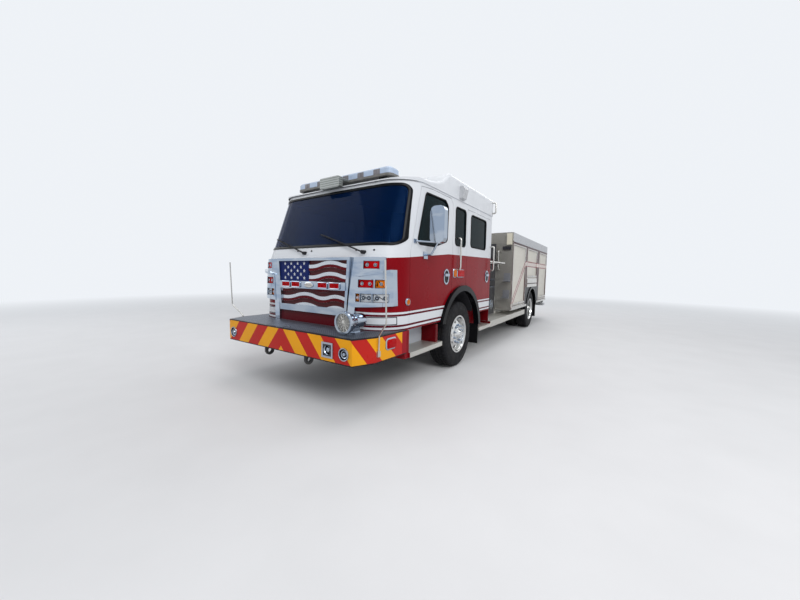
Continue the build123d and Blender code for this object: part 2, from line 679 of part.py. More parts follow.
def dashboard():
    """Instrument panel across the cab with a hood, and the steering column and wheel on the left."""
    front = -2010.0
    panel = along_x(
        side_outline([
            (front, 1460.0), (front, 1770.0), (-1800.0, 1800.0), (-1640.0, 1770.0), (-1560.0, 1700.0),
            (-1620.0, 1500.0), (-1680.0, 1460.0),
        ]),
        -1140.0, 1140.0,
    ) & cab_form(CAB_WALL)
    centre = (790.0, at(-1440.0), 1660.0)
    tilt = Plane(origin=centre, x_dir=(1, 0, 0), z_dir=(0, 0.8, 0.6))
    rim = tilt * Torus(220.0, 15.0)
    spokes = tilt * Box(430.0, 40.0, 14.0)
    column = extrude(tilt.offset(10.0) * Circle(32.0), amount=-260.0)
    return panel + rim + spokes + column


def seats():
    """Front seats and crew seats: cushion, back and pedestal as one rounded form each."""
    made = []
    for x, rear, top in SEATS:
        profile = side_outline([
            (rear - 560, top - 130), (rear - 560, top - 10), (rear - 160, top - 30), (rear - 90, top + 640),
            (rear - 10, top + 640), (rear - 10, top - 130),
        ])
        profile = fillet(profile.vertices(), 35.0)
        seat = along_x(profile, x - 240, x + 240)
        base = 1105.0 if x == 0 else FLOOR_TOP
        seat += block(x - 170, x + 170, rear - 440, rear - 200, base, top - 120)
        made.append(seat)
    return made


def grille():
    """Chrome surround with a middle bar and a deep foot bar, over a backing."""
    back = -2005.0
    frame = along_y(front_outline(GRILLE_FRAME), GRILLE_FRONT, back)
    frame -= along_y(front_outline(GRILLE_INNER), GRILLE_FRONT - 5, back + 5)
    frame -= cab_form(0.0)
    backing = along_y(front_outline(GRILLE_OPENING), GRILLE_BACKING, -2015.0)
    bar = block(-625.0, 625.0, GRILLE_FRONT - 12, -2020.0, GRILLE_BAR_BOTTOM, GRILLE_BAR_TOP)
    return frame + backing + bar


def wave(height, crossings):
    """Arcs across the grille through the given crossings of a height, first below it, then above."""
    arcs = []
    for turn, (x0, x1) in enumerate(zip(crossings, crossings[1:])):
        rise = WAVE_SHARE * (x1 - x0) * (1 if turn % 2 else -1)
        arcs.append(ThreePointArc((x0, height), ((x0 + x1) / 2, height + rise), (x1, height)))
    return arcs


def wavy_slat(height, crossings):
    """Outline of a slat between two equal waves."""
    top = wave(height + SLAT_DEPTH / 2, crossings)
    bottom = wave(height - SLAT_DEPTH / 2, crossings)
    ends = [Line(top[-1] @ 1, bottom[-1] @ 1), Line(bottom[0] @ 0, top[0] @ 0)]
    return make_face(Wire([*top, ends[0], *reversed(bottom), ends[1]]))


def star(x, z):
    """A five-pointed star standing on two points."""
    points = []
    for corner in range(10):
        radius = STAR_RADIUS * (0.382 if corner % 2 else 1.0)
        turn = radians(36.0 * corner)
        points.append((x + radius * sin(turn), z + radius * cos(turn)))
    return front_outline(points)


def grille_slats():
    """Wavy slats either side of the bar, and the plate with stars cut through it beside the upper slats."""
    opening = along_y(front_outline(GRILLE_INNER), SLAT_FRONT, GRILLE_BACKING)
    upper = opening & block(-700.0, 700.0, SLAT_FRONT, GRILLE_BACKING, GRILLE_BAR_TOP, 1700.0)
    lower = opening & block(-700.0, 700.0, SLAT_FRONT, GRILLE_BACKING, 1000.0, GRILLE_BAR_BOTTOM)
    field = block(-700.0, STAR_FIELD_EDGE, SLAT_FRONT, GRILLE_BACKING, GRILLE_BAR_TOP, 1700.0)
    made = []
    for height, crossings in SLATS:
        slat = along_y(wavy_slat(height, crossings), SLAT_FRONT, GRILLE_BACKING)
        made += ((slat & lower) if crossings is LOWER_WAVE else (slat & upper) - field).solids()
    plate = upper & block(-700.0, STAR_FIELD_EDGE - 8, SLAT_FRONT, GRILLE_BACKING, GRILLE_BAR_TOP, 1700.0)
    middle = (STAR_FIELD_EDGE - 628.0) / 2
    for height, count in STAR_ROWS:
        for column in range(count):
            x = middle + (column - (count - 1) / 2) * STAR_PITCH
            plate -= along_y(star(x, height), SLAT_FRONT - 5, GRILLE_BACKING + 5)
    made.append(plate)
    return made


def lamp_skin(outline, out, depth):
    """A skin over the cab's front corner, from its outer face inwards."""
    skin = cab_form(-out) - cab_form(depth - out)
    return skin & along_y(front_outline(outline), -2300.0, -1600.0)


def lamp_clusters():
    """Chrome bezels of the head and warning lamps, wrapped round each front corner."""
    bezel = lamp_skin([(735.0, 1105.0), (790.0, 1480.0), (1172.0, 1540.0), (1185.0, 1130.0)], 42.0, 42.0)
    pillar_outline = [
        (638.0, 846.0), (692.0, 1690.0), (1090.0, 1690.0), (1090.0, 1528.0), (800.0, 1482.0), (735.0, 846.0),
    ]
    pillar = lamp_skin(pillar_outline, 34.0, 34.0)
    hood = lamp_skin([(790.0, 1462.0), (794.0, 1486.0), (1172.0, 1546.0), (1174.0, 1512.0)], 78.0, 78.0)
    cluster = bezel + pillar + hood
    for x0, x1, z0, z1 in LAMP_POCKETS:
        cluster -= block(x0, x1, -2300.0, -1700.0, z0, z1)
    return both_sides(cluster)


def scene_lamp():
    """Scene lamp on the left of the roof: a box with a rounded face turned outwards and down."""
    inner = CAB_HALF + 12
    profile = [
        (inner, 2655.0), (inner, 2845.0), (inner + 60, 2845.0), (inner + 85, 2800.0), (inner + 50, 2665.0),
    ]
    lamp = along_y(front_outline(profile), -240.0, -90.0)
    return fillet(lamp.edges().filter_by(Axis.Y).sort_by(Axis.X)[-3:], 16.0)


def lamp_lenses():
    """Lenses in the clusters and on the grille bar, side markers, scene lamps and rear lamps."""
    lenses = []
    gap = 3.0
    for x0, x1, z0, z1 in LAMP_POCKETS:
        face = [(x0 + gap, z0 + gap), (x0 + gap, z1 - gap), (x1 - gap, z1 - gap), (x1 - gap, z0 + gap)]
        lenses += both_sides(lamp_skin(face, 26.0, 26.0))
    for x in BAR_LAMPS:
        lenses.append(block(x - 80, x + 80, GRILLE_FRONT - 25, GRILLE_FRONT - 12, 1312.0, 1376.0))
    for station, height, width, tall in SIDE_MARKERS:
        y0 = station - width / 2
        marker = block(CAB_HALF, CAB_HALF + 24, y0, y0 + width, height - tall / 2, height + tall / 2)
        lenses += both_sides(chamfer(marker.faces().sort_by(Axis.X)[-1].edges(), 10.0))
    lenses += both_sides(rod_x(32.0, CAB_HALF, CAB_HALF + 18, -1638.0, 1168.0))
    lenses += both_sides(scene_lamp())
    lenses += both_sides(block(1120.0, 1230.0, BODY_FRONT - 60, BODY_FRONT, 2230.0, 2490.0))
    lenses += both_sides(block(1030.0, 1215.0, BODY_FRONT - 50, BODY_FRONT, 2120.0, 2190.0))
    for height in (820.0, 1010.0, 1200.0):
        lenses += both_sides(block(1075.0, 1200.0, BODY_REAR, BODY_REAR + 28, height, height + 165))
    lenses += both_sides(block(980.0, 1200.0, BODY_REAR, BODY_REAR + 28, 2350.0, 2480.0))
    return lenses


def lightbar():
    """Roof lightbar: tray, bevelled lens with joints between its modules, feet, and a boxed lamp in front."""
    station = LIGHTBAR_STATION
    outline = Pos(0, at(station)) * Rectangle(2 * LIGHTBAR_HALF, LIGHTBAR_DEPTH)
    outline = fillet(outline.vertices(), 80.0)
    lens = along_z(offset(outline, -8.0), LIGHTBAR_BOTTOM + 24, LIGHTBAR_TOP)
    lens = chamfer(lens.faces().sort_by(Axis.Z)[-1].edges(), 24.0)
    front = station - LIGHTBAR_DEPTH / 2
    rear = station + LIGHTBAR_DEPTH / 2
    for joint in range(-3, 4):
        x = joint * 218.0
        slot = block(x - 4, x + 4, front - 10, rear + 10, LIGHTBAR_BOTTOM + 40, LIGHTBAR_TOP + 12)
        lens -= slot - block(x - 5, x + 5, front + 15, rear - 15, LIGHTBAR_BOTTOM + 40, LIGHTBAR_TOP - 8)
    bar = lens + along_z(outline, LIGHTBAR_BOTTOM, LIGHTBAR_BOTTOM + 28)
    for x in (-725.0, 725.0):
        foot = block(x - 60, x + 60, station - 80, station + 80, ROOF_JOINT, LIGHTBAR_BOTTOM + 5)
        bar += foot - roof_form()
    box = chamfer(block(-137.0, 223.0, -1780.0, -1712.0, 2625.0, 2768.0).edges().filter_by(Axis.Y), 14.0)
    return bar + box + block(-107.0, 193.0, -1715.0, front + 40, LIGHTBAR_BOTTOM + 2, 2762.0)


def wipers():
    """Two wiper arms with blades, parked on the windscreen's lower edge."""
    made = []
    # Pivot x and height, tip x and height
    for x0, z0, x1, z1 in [(-190.0, 1758.0, -800.0, 1952.0), (834.0, 1748.0, 120.0, 1976.0)]:
        y0 = cab_front_at(z0) - 30
        y1 = cab_front_at(z1) - 28
        boss = rod_y(22.0, x0, y0 - 12, y0 + 45, z0)
        start = Vector(x0, at(y0), z0)
        end = Vector(x1, at(y1), z1)
        run = end - start
        arm = extrude(Plane(origin=start, z_dir=run) * Rectangle(16.0, 16.0), amount=run.length)
        blade_start = start + run * 0.42
        blade = extrude(
            Plane(origin=blade_start + Vector(0, 10, -4), z_dir=run) * Rectangle(14.0, 22.0),
            amount=run.length * 0.72,
        )
        made.append(boss + arm + blade - cab_form(0.0))
    return made


def fender_flares():
    """Black flares round the wheel openings."""
    inner = CAB_HALF - CAB_WALL - 8
    front = rod_x(FLARE_OUTER, inner, 1262.0, 0.0, TYRE_RADIUS)
    front -= rod_x(FLARE_INNER, inner - 10, 1300.0, 0.0, TYRE_RADIUS)
    front &= block(0.0, 1300.0, -900.0, 900.0, 620.0, 1400.0)
    front -= block(0.0, 1300.0, -900.0, 0.0, 600.0, 790.0)
    rear = rod_x(REAR_ARCH, 1225.0, 1275.0, WHEELBASE, TYRE_RADIUS)
    rear -= rod_x(REAR_ARCH - 55, 1200.0, 1300.0, WHEELBASE, TYRE_RADIUS)
    rear &= block(0.0, 1300.0, WHEELBASE - 700, WHEELBASE + 700, BODY_BOTTOM, 1400.0)
    return [*both_sides(front), *both_sides(rear)]


# Bumper and what stands on it


def bumper_ring(inset):
    """Half plan of the bumper, mirrored, moved inwards by inset."""
    (x0, y0), (x1, y1), (x2, y2) = BUMPER_PLAN
    points = [(x0 - inset * 0.75, y0 + inset), (x1 - inset, y1 + inset * 0.3), (x2 - inset, y2)]
    left = [(x, at(y)) for x, y in points]
    right = [(-x, y) for x, y in reversed(left)]
    return make_face(Polyline(*(left + right), close=True))


def bumper():
    ring = along_z(bumper_ring(0.0), BUMPER_BOTTOM, BUMPER_TOP)
    ring -= along_z(bumper_ring(BUMPER_WALL), BUMPER_BOTTOM - 5, BUMPER_TOP + 5)
    ring -= block(-1160.0, 1160.0, -1900.0, -1600.0, 500.0, 900.0)
    for side in (-1, 1):
        ring -= rod_y(HORN_HOLE, side * HORNS_X, BUMPER_FRONT - 5, BUMPER_FRONT + 60, HORN_Z)
    ring -= block(720.0, 870.0, BUMPER_FRONT - 5, BUMPER_FRONT + 60, 615.0, 765.0)
    return ring


def bumper_deck():
    """Treadplate deck with the hose well under its lid."""
    top = BUMPER_TOP
    deck = along_z(bumper_ring(BUMPER_WALL), top - DECK_THICKNESS, top)
    deck -= block(-1300.0, 1300.0, -1716.0, -1500.0, 700.0, 900.0)
    body = along_z(Face(cab_plan(CAB_LEVELS[0][1], -6.0)), 700.0, 900.0)
    deck -= body
    gap = DOOR_GAP
    opening = (-LID_HALF - gap, LID_HALF + gap, LID_FRONT - gap, LID_REAR + gap)
    deck -= block(*opening, top - 20, top + 5)
    x0, x1, y0, y1 = opening
    well = block(x0 - 10, x1 + 10, y0 - 1, y1 + 10, 640.0, top - DECK_THICKNESS)
    well -= block(x0, x1, y0, y1, 650.0, top)
    return deck + well


def hose_well_lid():
    lid = block(-LID_HALF, LID_HALF, LID_FRONT, LID_REAR, BUMPER_TOP - DECK_THICKNESS, BUMPER_TOP)
    lid += rod_x(7.0, -60.0, 60.0, LID_FRONT + 55, BUMPER_TOP + 4)
    return lid


def siren():
    """Mechanical siren: a round chrome bell on a pedestal, open to the front."""
    x = 905.0
    height = 975.0
    profile = [
        (0.0, 100.0), (0.0, 122.0), (18.0, 126.0), (60.0, 116.0), (110.0, 92.0), (150.0, 84.0),
        (300.0, 78.0), (335.0, 50.0), (335.0, 0.0), (20.0, 0.0), (20.0, 100.0),
    ]
    front = -2412.0
    bell = revolve(make_face(Polyline(*profile, close=True)), Axis.X)
    bell = Pos(x, at(front), height) * Rot(0, 0, 90) * bell
    foot = block(x - 60, x + 60, front + 130, front + 270, BUMPER_TOP, BUMPER_TOP + 12)
    post = block(x - 28, x + 28, front + 150, front + 250, BUMPER_TOP + 10, height - 40)
    return bell + foot + post


def bumper_horns():
    """Two round horns and a square speaker set into the bumper."""
    made = []
    for side in (-1, 1):
        x = side * HORNS_X
        horn = rod_y(HORN_HOLE, x, BUMPER_FRONT - 8, BUMPER_FRONT + 8, HORN_Z)
        horn -= rod_y(HORN_HOLE - 10, x, BUMPER_FRONT - 9, BUMPER_FRONT + 4, HORN_Z)
        horn += rod_y(30.0, x, BUMPER_FRONT + 5, BUMPER_FRONT + 260, HORN_Z)
        made.append(horn)
    speaker = block(712.0, 878.0, BUMPER_FRONT - 12, BUMPER_FRONT, 607.0, 773.0)
    speaker += block(720.0, 870.0, BUMPER_FRONT - 2, BUMPER_FRONT + 90, 615.0, 765.0)
    speaker -= rod_y(52.0, 795.0, BUMPER_FRONT - 15, BUMPER_FRONT + 20, 690.0)
    made.append(speaker)
    return made


def corner_guides():
    """Thin poles that mark the bumper's corners."""
    points = [
        (1256.0, -2240.0, 660.0), (1275.0, -2255.0, 860.0), (1418.0, -2330.0, 1010.0),
        (1412.0, -2352.0, 1632.0),
    ]
    pole = bent_rod(points, 16.0, 40.0)
    foot = block(1238.0, 1266.0, -2262.0, -2218.0, 630.0, 690.0)
    wing = along_z(bumper_ring(0.0), BUMPER_BOTTOM, BUMPER_TOP)
    return both_sides(pole + foot - wing)


# Steps, pump module and body


def side_steps():
    """Cab steps with their wells, and the running board from the cab to the rear wheel."""
    floor_bottom = FLOOR_TOP - FLOOR_THICKNESS
    outer = 1250.0
    riser_x = 950.0
    riser = 25.0
    front = block(PUMP_HALF, outer, -1606.0, -735.0, STEP_BOTTOM, STEP_TOP)
    front += block(riser_x, riser_x + riser, -1606.0, -735.0, STEP_TOP, floor_bottom)
    front += block(riser_x, 1230.0, -1700.0, -1606.0, STEP_BOTTOM, CAB_BOTTOM - DOOR_GAP)
    front += block(riser_x, 1205.0, -860.0, -800.0, STEP_TOP, 800.0)
    front += block(RAIL_OUTER, riser_x + 10, -1500.0, -1420.0, 640.0, 740.0)
    rear = block(PUMP_HALF, outer, 776.0, PUMP_FRONT, STEP_BOTTOM, STEP_TOP)
    rear += block(riser_x, riser_x + riser, 776.0, CAB_REAR - CAB_WALL, STEP_TOP, floor_bottom)
    rear += block(riser_x, riser_x + riser, CAB_REAR - CAB_WALL - 2, PUMP_FRONT, STEP_TOP, CAB_BOTTOM)
    rear += block(RAIL_OUTER, riser_x + riser, 1200.0, 1290.0, 640.0, 720.0)
    rear += block(PUMP_HALF, BODY_HALF, PUMP_FRONT, BOARD_REAR, BOARD_BOTTOM, BOARD_TOP)
    rear += block(PUMP_HALF, PUMP_HALF + 20, BODY_FRONT, BOARD_REAR, BOARD_TOP, BODY_BOTTOM)
    return [*both_sides(front), *both_sides(rear), *folding_steps()]


def folding_steps():
    """Folding steps up the body's front and rear walls."""
    made = []
    for x0, x1, wall, reach, height in FOLDING_STEPS:
        y0, y1 = sorted((wall, wall + reach))
        p0, p1 = sorted((wall, wall + reach * 0.12))
        step = block(x0 + 8, x1 - 8, y0, y1, height, height + 24)
        step += block(x0, x1, p0, p1, height - 12, height + 190)
        made += both_sides(step)
    return made


def pump_module():
    """Pump house between cab and body, with open crosslay trays above it."""
    house = block(-PUMP_HALF, PUMP_HALF, PUMP_FRONT, PUMP_REAR, RAIL_TOP, PUMP_TOP)
    for side in (-1, 1):
        x0, x1 = sorted((side * (RAIL_OUTER + 90), side * PUMP_HALF))
        house += block(x0, x1, PUMP_FRONT, PUMP_REAR, PUMP_BOTTOM, RAIL_TOP + 5)
    for station in (PUMP_FRONT, PUMP_FRONT + 470, PUMP_FRONT + 940, PUMP_REAR - 30):
        house += block(-PUMP_HALF, PUMP_HALF, station, station + 30, PUMP_TOP, CROSSLAY_TOP)
    return house


def pump_fittings():
    """Suction intakes, hose outlets and gauges on both pump panels."""
    made = []
    y, z = INTAKE
    intake = rod_x(INTAKE_RADIUS + 55, PUMP_HALF, PUMP_HALF + 20, y, z)
    intake += rod_x(INTAKE_RADIUS, PUMP_HALF, PUMP_HALF + 110, y, z)
    intake -= rod_x(INTAKE_RADIUS - 16, PUMP_HALF + 30, PUMP_HALF + 120, y, z)
    made += both_sides(intake)
    for y, z in DISCHARGES:
        outlet = rod_x(DISCHARGE_RADIUS + 18, PUMP_HALF, PUMP_HALF + 16, y, z)
        outlet += rod_x(DISCHARGE_RADIUS, PUMP_HALF, PUMP_HALF + 95, y, z)
        made += both_sides(outlet)
    for y, z in GAUGES:
        made += both_sides(rod_x(62.0, PUMP_HALF, PUMP_HALF + 22, y, z))
    for y, z in LEVERS:
        lever = rod_x(8.0, PUMP_HALF, PUMP_HALF + 42, y, z)
        made += both_sides(lever + rod_x(20.0, PUMP_HALF + 40, PUMP_HALF + 58, y, z))
    return made


def locker_side():
    """Left row of lockers: a hollow box with three shutter openings, cut out over the wheels."""
    outer = block(LOCKER_INNER, BODY_HALF, BODY_FRONT, BODY_REAR, BODY_BOTTOM, BODY_TOP)
    inner = block(
        LOCKER_INNER + BODY_WALL, BODY_HALF - BODY_WALL, BODY_FRONT + BODY_WALL, BODY_REAR - BODY_WALL,
        BODY_BOTTOM + BODY_WALL, BODY_TOP - BODY_WALL,
    )
    side = outer - inner
    for y0, y1, z0, z1 in SHUTTERS:
        side -= block(BODY_HALF - BODY_WALL - 5, BODY_HALF + 5, y0, y1, z0, z1)
    side -= rod_x(REAR_ARCH + HOUSING_WALL, LOCKER_INNER - 5, BODY_HALF + 5, WHEELBASE, TYRE_RADIUS)
    for y0, y1, z0, z1 in SHUTTERS:
        trim = block(BODY_HALF, BODY_HALF + 8, y0 - TRIM, y1 + TRIM, z0 - TRIM, z1 + TRIM)
        side += trim - block(BODY_HALF - 1, BODY_HALF + 9, y0, y1, z0, z1)
    ledge_front, ledge_rear, ledge_top, _ = SHUTTERS[1]
    fender_top = TYRE_RADIUS + REAR_ARCH
    for z0, z1 in [(fender_top + 3, fender_top + 85), (fender_top + 115, ledge_top - TRIM)]:
        side += block(BODY_HALF, BODY_HALF + 22, ledge_front, ledge_rear, z0, z1)
    side += block(BODY_HALF, BODY_HALF + 14, BODY_FRONT, BODY_REAR, 2302.0, 2322.0)
    for y0, y1, _, _ in SHUTTERS:
        side += block(LOCKER_INNER + 60, BODY_HALF - 60, y0, y1, BODY_TOP - 2, BODY_TOP + 14)
    reach = REAR_ARCH + 20
    for y0, y1 in [(BODY_FRONT, WHEELBASE - reach), (WHEELBASE + reach, BODY_REAR)]:
        side += block(BODY_HALF, BODY_HALF + 18, y0, y1, BODY_BOTTOM, BODY_BOTTOM + 60)
    return side


def wheel_housings():
    """Half-round housing over each pair of rear wheels, from the tank to the body's side."""
    outer = rod_x(REAR_ARCH + HOUSING_WALL, TANK_HALF + 20, BODY_HALF, WHEELBASE, TYRE_RADIUS)
    housing = outer - rod_x(REAR_ARCH, TANK_HALF + 10, BODY_HALF + 10, WHEELBASE, TYRE_RADIUS)
    return both_sides(housing & block(0.0, BODY_HALF + 1, 4000.0, 6200.0, BODY_BOTTOM, 1300.0))


def body_shell():
    """Lockers each side, hose bed floor, front and rear bulkheads."""
    side = locker_side()
    shell = side + mirror(side, about=Plane.YZ)
    shell += block(-LOCKER_INNER, LOCKER_INNER, BODY_FRONT, BODY_REAR, BED_FLOOR - 40, BED_FLOOR)
    shell += block(-LOCKER_INNER, LOCKER_INNER, BODY_FRONT, BODY_FRONT + BODY_WALL, 1000.0, 2420.0)
    rear = block(-LOCKER_INNER, LOCKER_INNER, BODY_REAR - BODY_WALL, BODY_REAR, 895.0, BED_FLOOR)
    rear -= block(-480.0, 480.0, BODY_REAR - 60, BODY_REAR + 5, 960.0, 1640.0)
    return shell + rear


def shutter_profile(z0, z1):
    """Profile of a roller shutter from its inner face at 0 outwards, with a groove between its slats."""
    face = 18.0
    count = round((z1 - z0) / SLAT_PITCH)
    pitch = (z1 - z0) / count
    points = [(0.0, z0)]
    for slat in range(count):
        low = z0 + slat * pitch
        points += [
            (face - SLAT_GROOVE, low), (face - SLAT_GROOVE, low + 4), (face, low + 8), (face, low + pitch - 4),
        ]
    return points + [(face - SLAT_GROOVE, z1), (0.0, z1)]


def shutters():
    """Roller shutters of the lockers and the rear opening, each with a lift bar."""
    made = []
    inner = BODY_HALF - 30
    for y0, y1, z0, z1 in SHUTTERS:
        slats = Pos(inner, 0, 0) * along_y(front_outline(shutter_profile(z0, z1)), y0, y1)
        slats += block(inner + 10, inner + 32, y0 + 20, y1 - 20, z0 + 20, z0 + 60)
        made += both_sides(slats)
    rear = block(-480.0, 480.0, BODY_REAR - 28, BODY_REAR - 10, 960.0, 1640.0)
    rear += block(-440.0, 440.0, BODY_REAR - 10, BODY_REAR + 6, 985.0, 1025.0)
    made.append(rear)
    return made


def water_tank():
    return block(-TANK_HALF, TANK_HALF, BODY_FRONT + 90, BODY_REAR - 200, RAIL_TOP, BED_FLOOR - 40)


def rear_step():
    """Tailboard with its kick plate and frame brackets."""
    step = block(-1200.0, 1200.0, BODY_REAR - 25, TAILBOARD_REAR, TAILBOARD_BOTTOM, TAILBOARD_TOP)
    step += block(-1200.0, 1200.0, BODY_REAR - 25, BODY_REAR, TAILBOARD_TOP, BODY_BOTTOM)
    for side in (-1, 1):
        x0, x1 = sorted((side * 440.0, side * 470.0))
        step += block(x0, x1, 6900.0, BODY_REAR - 20, TAILBOARD_BRACKET_BOTTOM, BODY_BOTTOM + 60)
        x0, x1 = sorted((side * RAIL_OUTER, side * 470.0))
        step += block(x0, x1, 6900.0, 7100.0, 660.0, BODY_BOTTOM + 60)
    return step


def mud_flaps():
    front = block(900.0, 1240.0, 722.0, 734.0, 260.0, 620.0)
    rear = block(640.0, 1240.0, WHEELBASE + 700, WHEELBASE + 712, 250.0, BODY_BOTTOM)
    return [*both_sides(front), *both_sides(rear)]


def grab_rails():
    """Rails beside the cab doors, over the pump panels and on the body's end walls."""
    made = []
    # Foot's width and station, lowest and highest height, way out to the side and to the front
    for x, y, z0, z1, out, ahead in [
        (CAB_HALF, -248.0, 1590.0, 2060.0, 65.0, 0.0),
        (CAB_HALF, 1335.0, 1600.0, 2055.0, 70.0, 0.0),
        (CAB_HALF + 12, 1320.0, 2690.0, 2890.0, 70.0, 0.0),
        (940.0, BODY_FRONT, 1640.0, 2090.0, 0.0, 65.0),
        (620.0, BODY_REAR, 1000.0, 1650.0, 0.0, -65.0),
    ]:
        points = [(x, y, z0), (x + out, y - ahead, z0), (x + out, y - ahead, z1), (x, y, z1)]
        made += both_sides(bent_rod(points, 30.0, 30.0))
    over = [
        (PUMP_HALF, 1415.0, 1775.0), (CAB_HALF, 1415.0, 1775.0), (CAB_HALF, 2355.0, 1775.0),
        (PUMP_HALF, 2355.0, 1775.0),
    ]
    return made + both_sides(bent_rod(over, 30.0, 45.0))


# Left door fittings


def mirror_head():
    """Mirror on a bent arm fixed to the front door."""
    arm = bent_rod([(CAB_HALF, -1240.0, 1750.0), (CAB_HALF + 90, -1240.0, 1750.0), (1395.0, -1240.0, 1890.0),
                    (1395.0, -1240.0, 1990.0)], 26.0, 22.0)
    arm += straight_rod((CAB_HALF + 10, -1485.0, 1905.0), (1395.0, -1240.0, 1905.0), 22.0)
    foot = block(CAB_HALF, CAB_HALF + 14, -1290.0, -1190.0, 1700.0, 1790.0)
    foot += block(CAB_HALF, CAB_HALF + 10, -1525.0, -1465.0, 1880.0, 1930.0)
    outline = fillet((Pos(1408.0, 2122.0) * Rectangle(200.0, 455.0)).vertices(), 70.0)
    head = along_y(outline, -1285.0, -1195.0)
    return arm + foot + head


def save(name, shape):
    """Write one node; a list of solids becomes one compound."""
    if isinstance(shape, list):
        shape = Compound(children=[solid for item in shape for solid in item.solids()])
    export_step(shape, f"parts/{name}.step")


def main():
    save("frame_rails", frame_rails())
    save("crossmembers", crossmembers())
    save("fuel_tank", fuel_tank())
    save("exhaust", exhaust())
    save("front_axle", front_axle())
    save("rear_axle", rear_axle())
    save("leaf_springs", leaf_springs())
    save("engine_block", engine_block())
    save("bumper", bumper())
    save("bumper_deck", bumper_deck())
    save("hose_well_lid", hose_well_lid())
    save("siren", siren())
    save("bumper_horns", bumper_horns())
    save("corner_guides", corner_guides())
    save("cab_front", cab_front())
    save("cab_sides", cab_sides())
    save("cab_rear_wall", cab_rear_wall())
    save("cab_roof", cab_roof())
    save("cab_floor", cab_floor())
    save("cab_glass", cab_glass())
    save("dashboard", dashboard())
    save("seats", seats())
    save("grille", grille())
    save("grille_slats", grille_slats())
    save("lamp_clusters", lamp_clusters())
    save("lamp_lenses", lamp_lenses())
    save("lightbar", lightbar())
    save("wipers", wipers())
    save("fender_flares", fender_flares())
    save("mud_flaps", mud_flaps())
    save("side_steps", side_steps())
    save("pump_module", pump_module())
    save("pump_fittings", pump_fittings())
    save("body_shell", body_shell())
    save("wheel_housings", wheel_housings())
    save("shutters", shutters())
    save("water_tank", water_tank())
    save("rear_step", rear_step())
    save("grab_rails", grab_rails())
    left_parts = {
        "door_front": cab_door(FRONT_DOOR, FRONT_DOOR_GLASS, HANDLES["front"]),
        "door_rear": cab_door(REAR_DOOR, REAR_DOOR_GLASS, HANDLES["rear"]),
        "glass_front": pane(FRONT_DOOR_GLASS, 12.0, 8.0),
        "glass_rear": pane(REAR_DOOR_GLASS, 12.0, 8.0),
        "mirror": mirror_head(),
        "knuckle": knuckle(),
        "wheel_front": front_wheel(),
        "tyre_front": Pos(FRONT_WHEEL_X, at(0.0), TYRE_RADIUS) * tyre(FRONT_TYRE_WIDTH),
        "wheels_rear": rear_wheels(),
    }
    for name, shape in left_parts.items():
        save(f"{name}_left", shape)
        save(f"{name}_right", mirror(shape, about=Plane.YZ))
    twin = [
        Pos(x, at(WHEELBASE), TYRE_RADIUS) * tyre(REAR_TYRE_WIDTH)
        for x in (REAR_OUTER_X, REAR_OUTER_X - DUAL_SPACING)
    ]
    save("tyres_rear_left", twin)
    save("tyres_rear_right", [mirror(shape, about=Plane.YZ) for shape in twin])


main()
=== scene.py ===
"""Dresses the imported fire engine: paint and stripes, tyres, lamps, seals, fittings, seats and a stage."""

import math

import bmesh
import bpy
from bpy.props import FloatProperty, FloatVectorProperty, IntProperty, PointerProperty
from mathutils import Matrix, Vector
from mathutils.bvhtree import BVHTree


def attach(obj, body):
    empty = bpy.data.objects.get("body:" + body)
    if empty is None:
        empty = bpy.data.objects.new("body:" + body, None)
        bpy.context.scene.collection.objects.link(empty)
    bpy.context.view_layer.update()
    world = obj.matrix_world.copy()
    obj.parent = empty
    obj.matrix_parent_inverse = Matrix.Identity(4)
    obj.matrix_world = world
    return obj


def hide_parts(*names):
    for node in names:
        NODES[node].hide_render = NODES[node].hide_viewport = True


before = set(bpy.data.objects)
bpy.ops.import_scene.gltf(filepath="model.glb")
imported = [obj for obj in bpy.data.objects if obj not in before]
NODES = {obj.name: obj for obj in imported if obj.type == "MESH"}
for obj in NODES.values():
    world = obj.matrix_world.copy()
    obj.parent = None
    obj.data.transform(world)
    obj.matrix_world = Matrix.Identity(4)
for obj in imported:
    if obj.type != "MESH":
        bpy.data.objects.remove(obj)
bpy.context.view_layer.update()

bl_info = {
    "name": "Fire Engine Dressing",
    "version": (1, 0, 0),
    "blender": (4, 5, 0),
    "location": "View3D > Sidebar > Fire Engine",
    "description": "Finishes and small fittings for a four-door fire engine",
    "category": "Object",
}

# Places along the vehicle are distances behind the front axle, in metres
FRONT_AXLE = -2.55
REAR_AXLE = 2.54
AXLE_HEIGHT = 0.535
CAB_HALF = 1.22
SIDES = (("left", 1), ("right", -1))
FORWARDS = (0, -1, 0)
REARWARDS = Vector((0, 1, 0))
# Y of a plane ahead of the whole vehicle, from which rays are cast
AHEAD = -6.0

# Colours used by more than one finish
# The red paint darkened, as painted shade
SHADED_RED = (0.13, 0.003, 0.006)
HORN_CHROME = (0.45, 0.5, 0.57)
SHUTTER_METAL = (0.68, 0.65, 0.58)
FLOOR_GREY = (0.72, 0.72, 0.73)
BACKGROUND = (0.86, 0.89, 0.93)


def at(station):
    """Y of a distance behind the front axle."""
    return FRONT_AXLE + station


# Settings


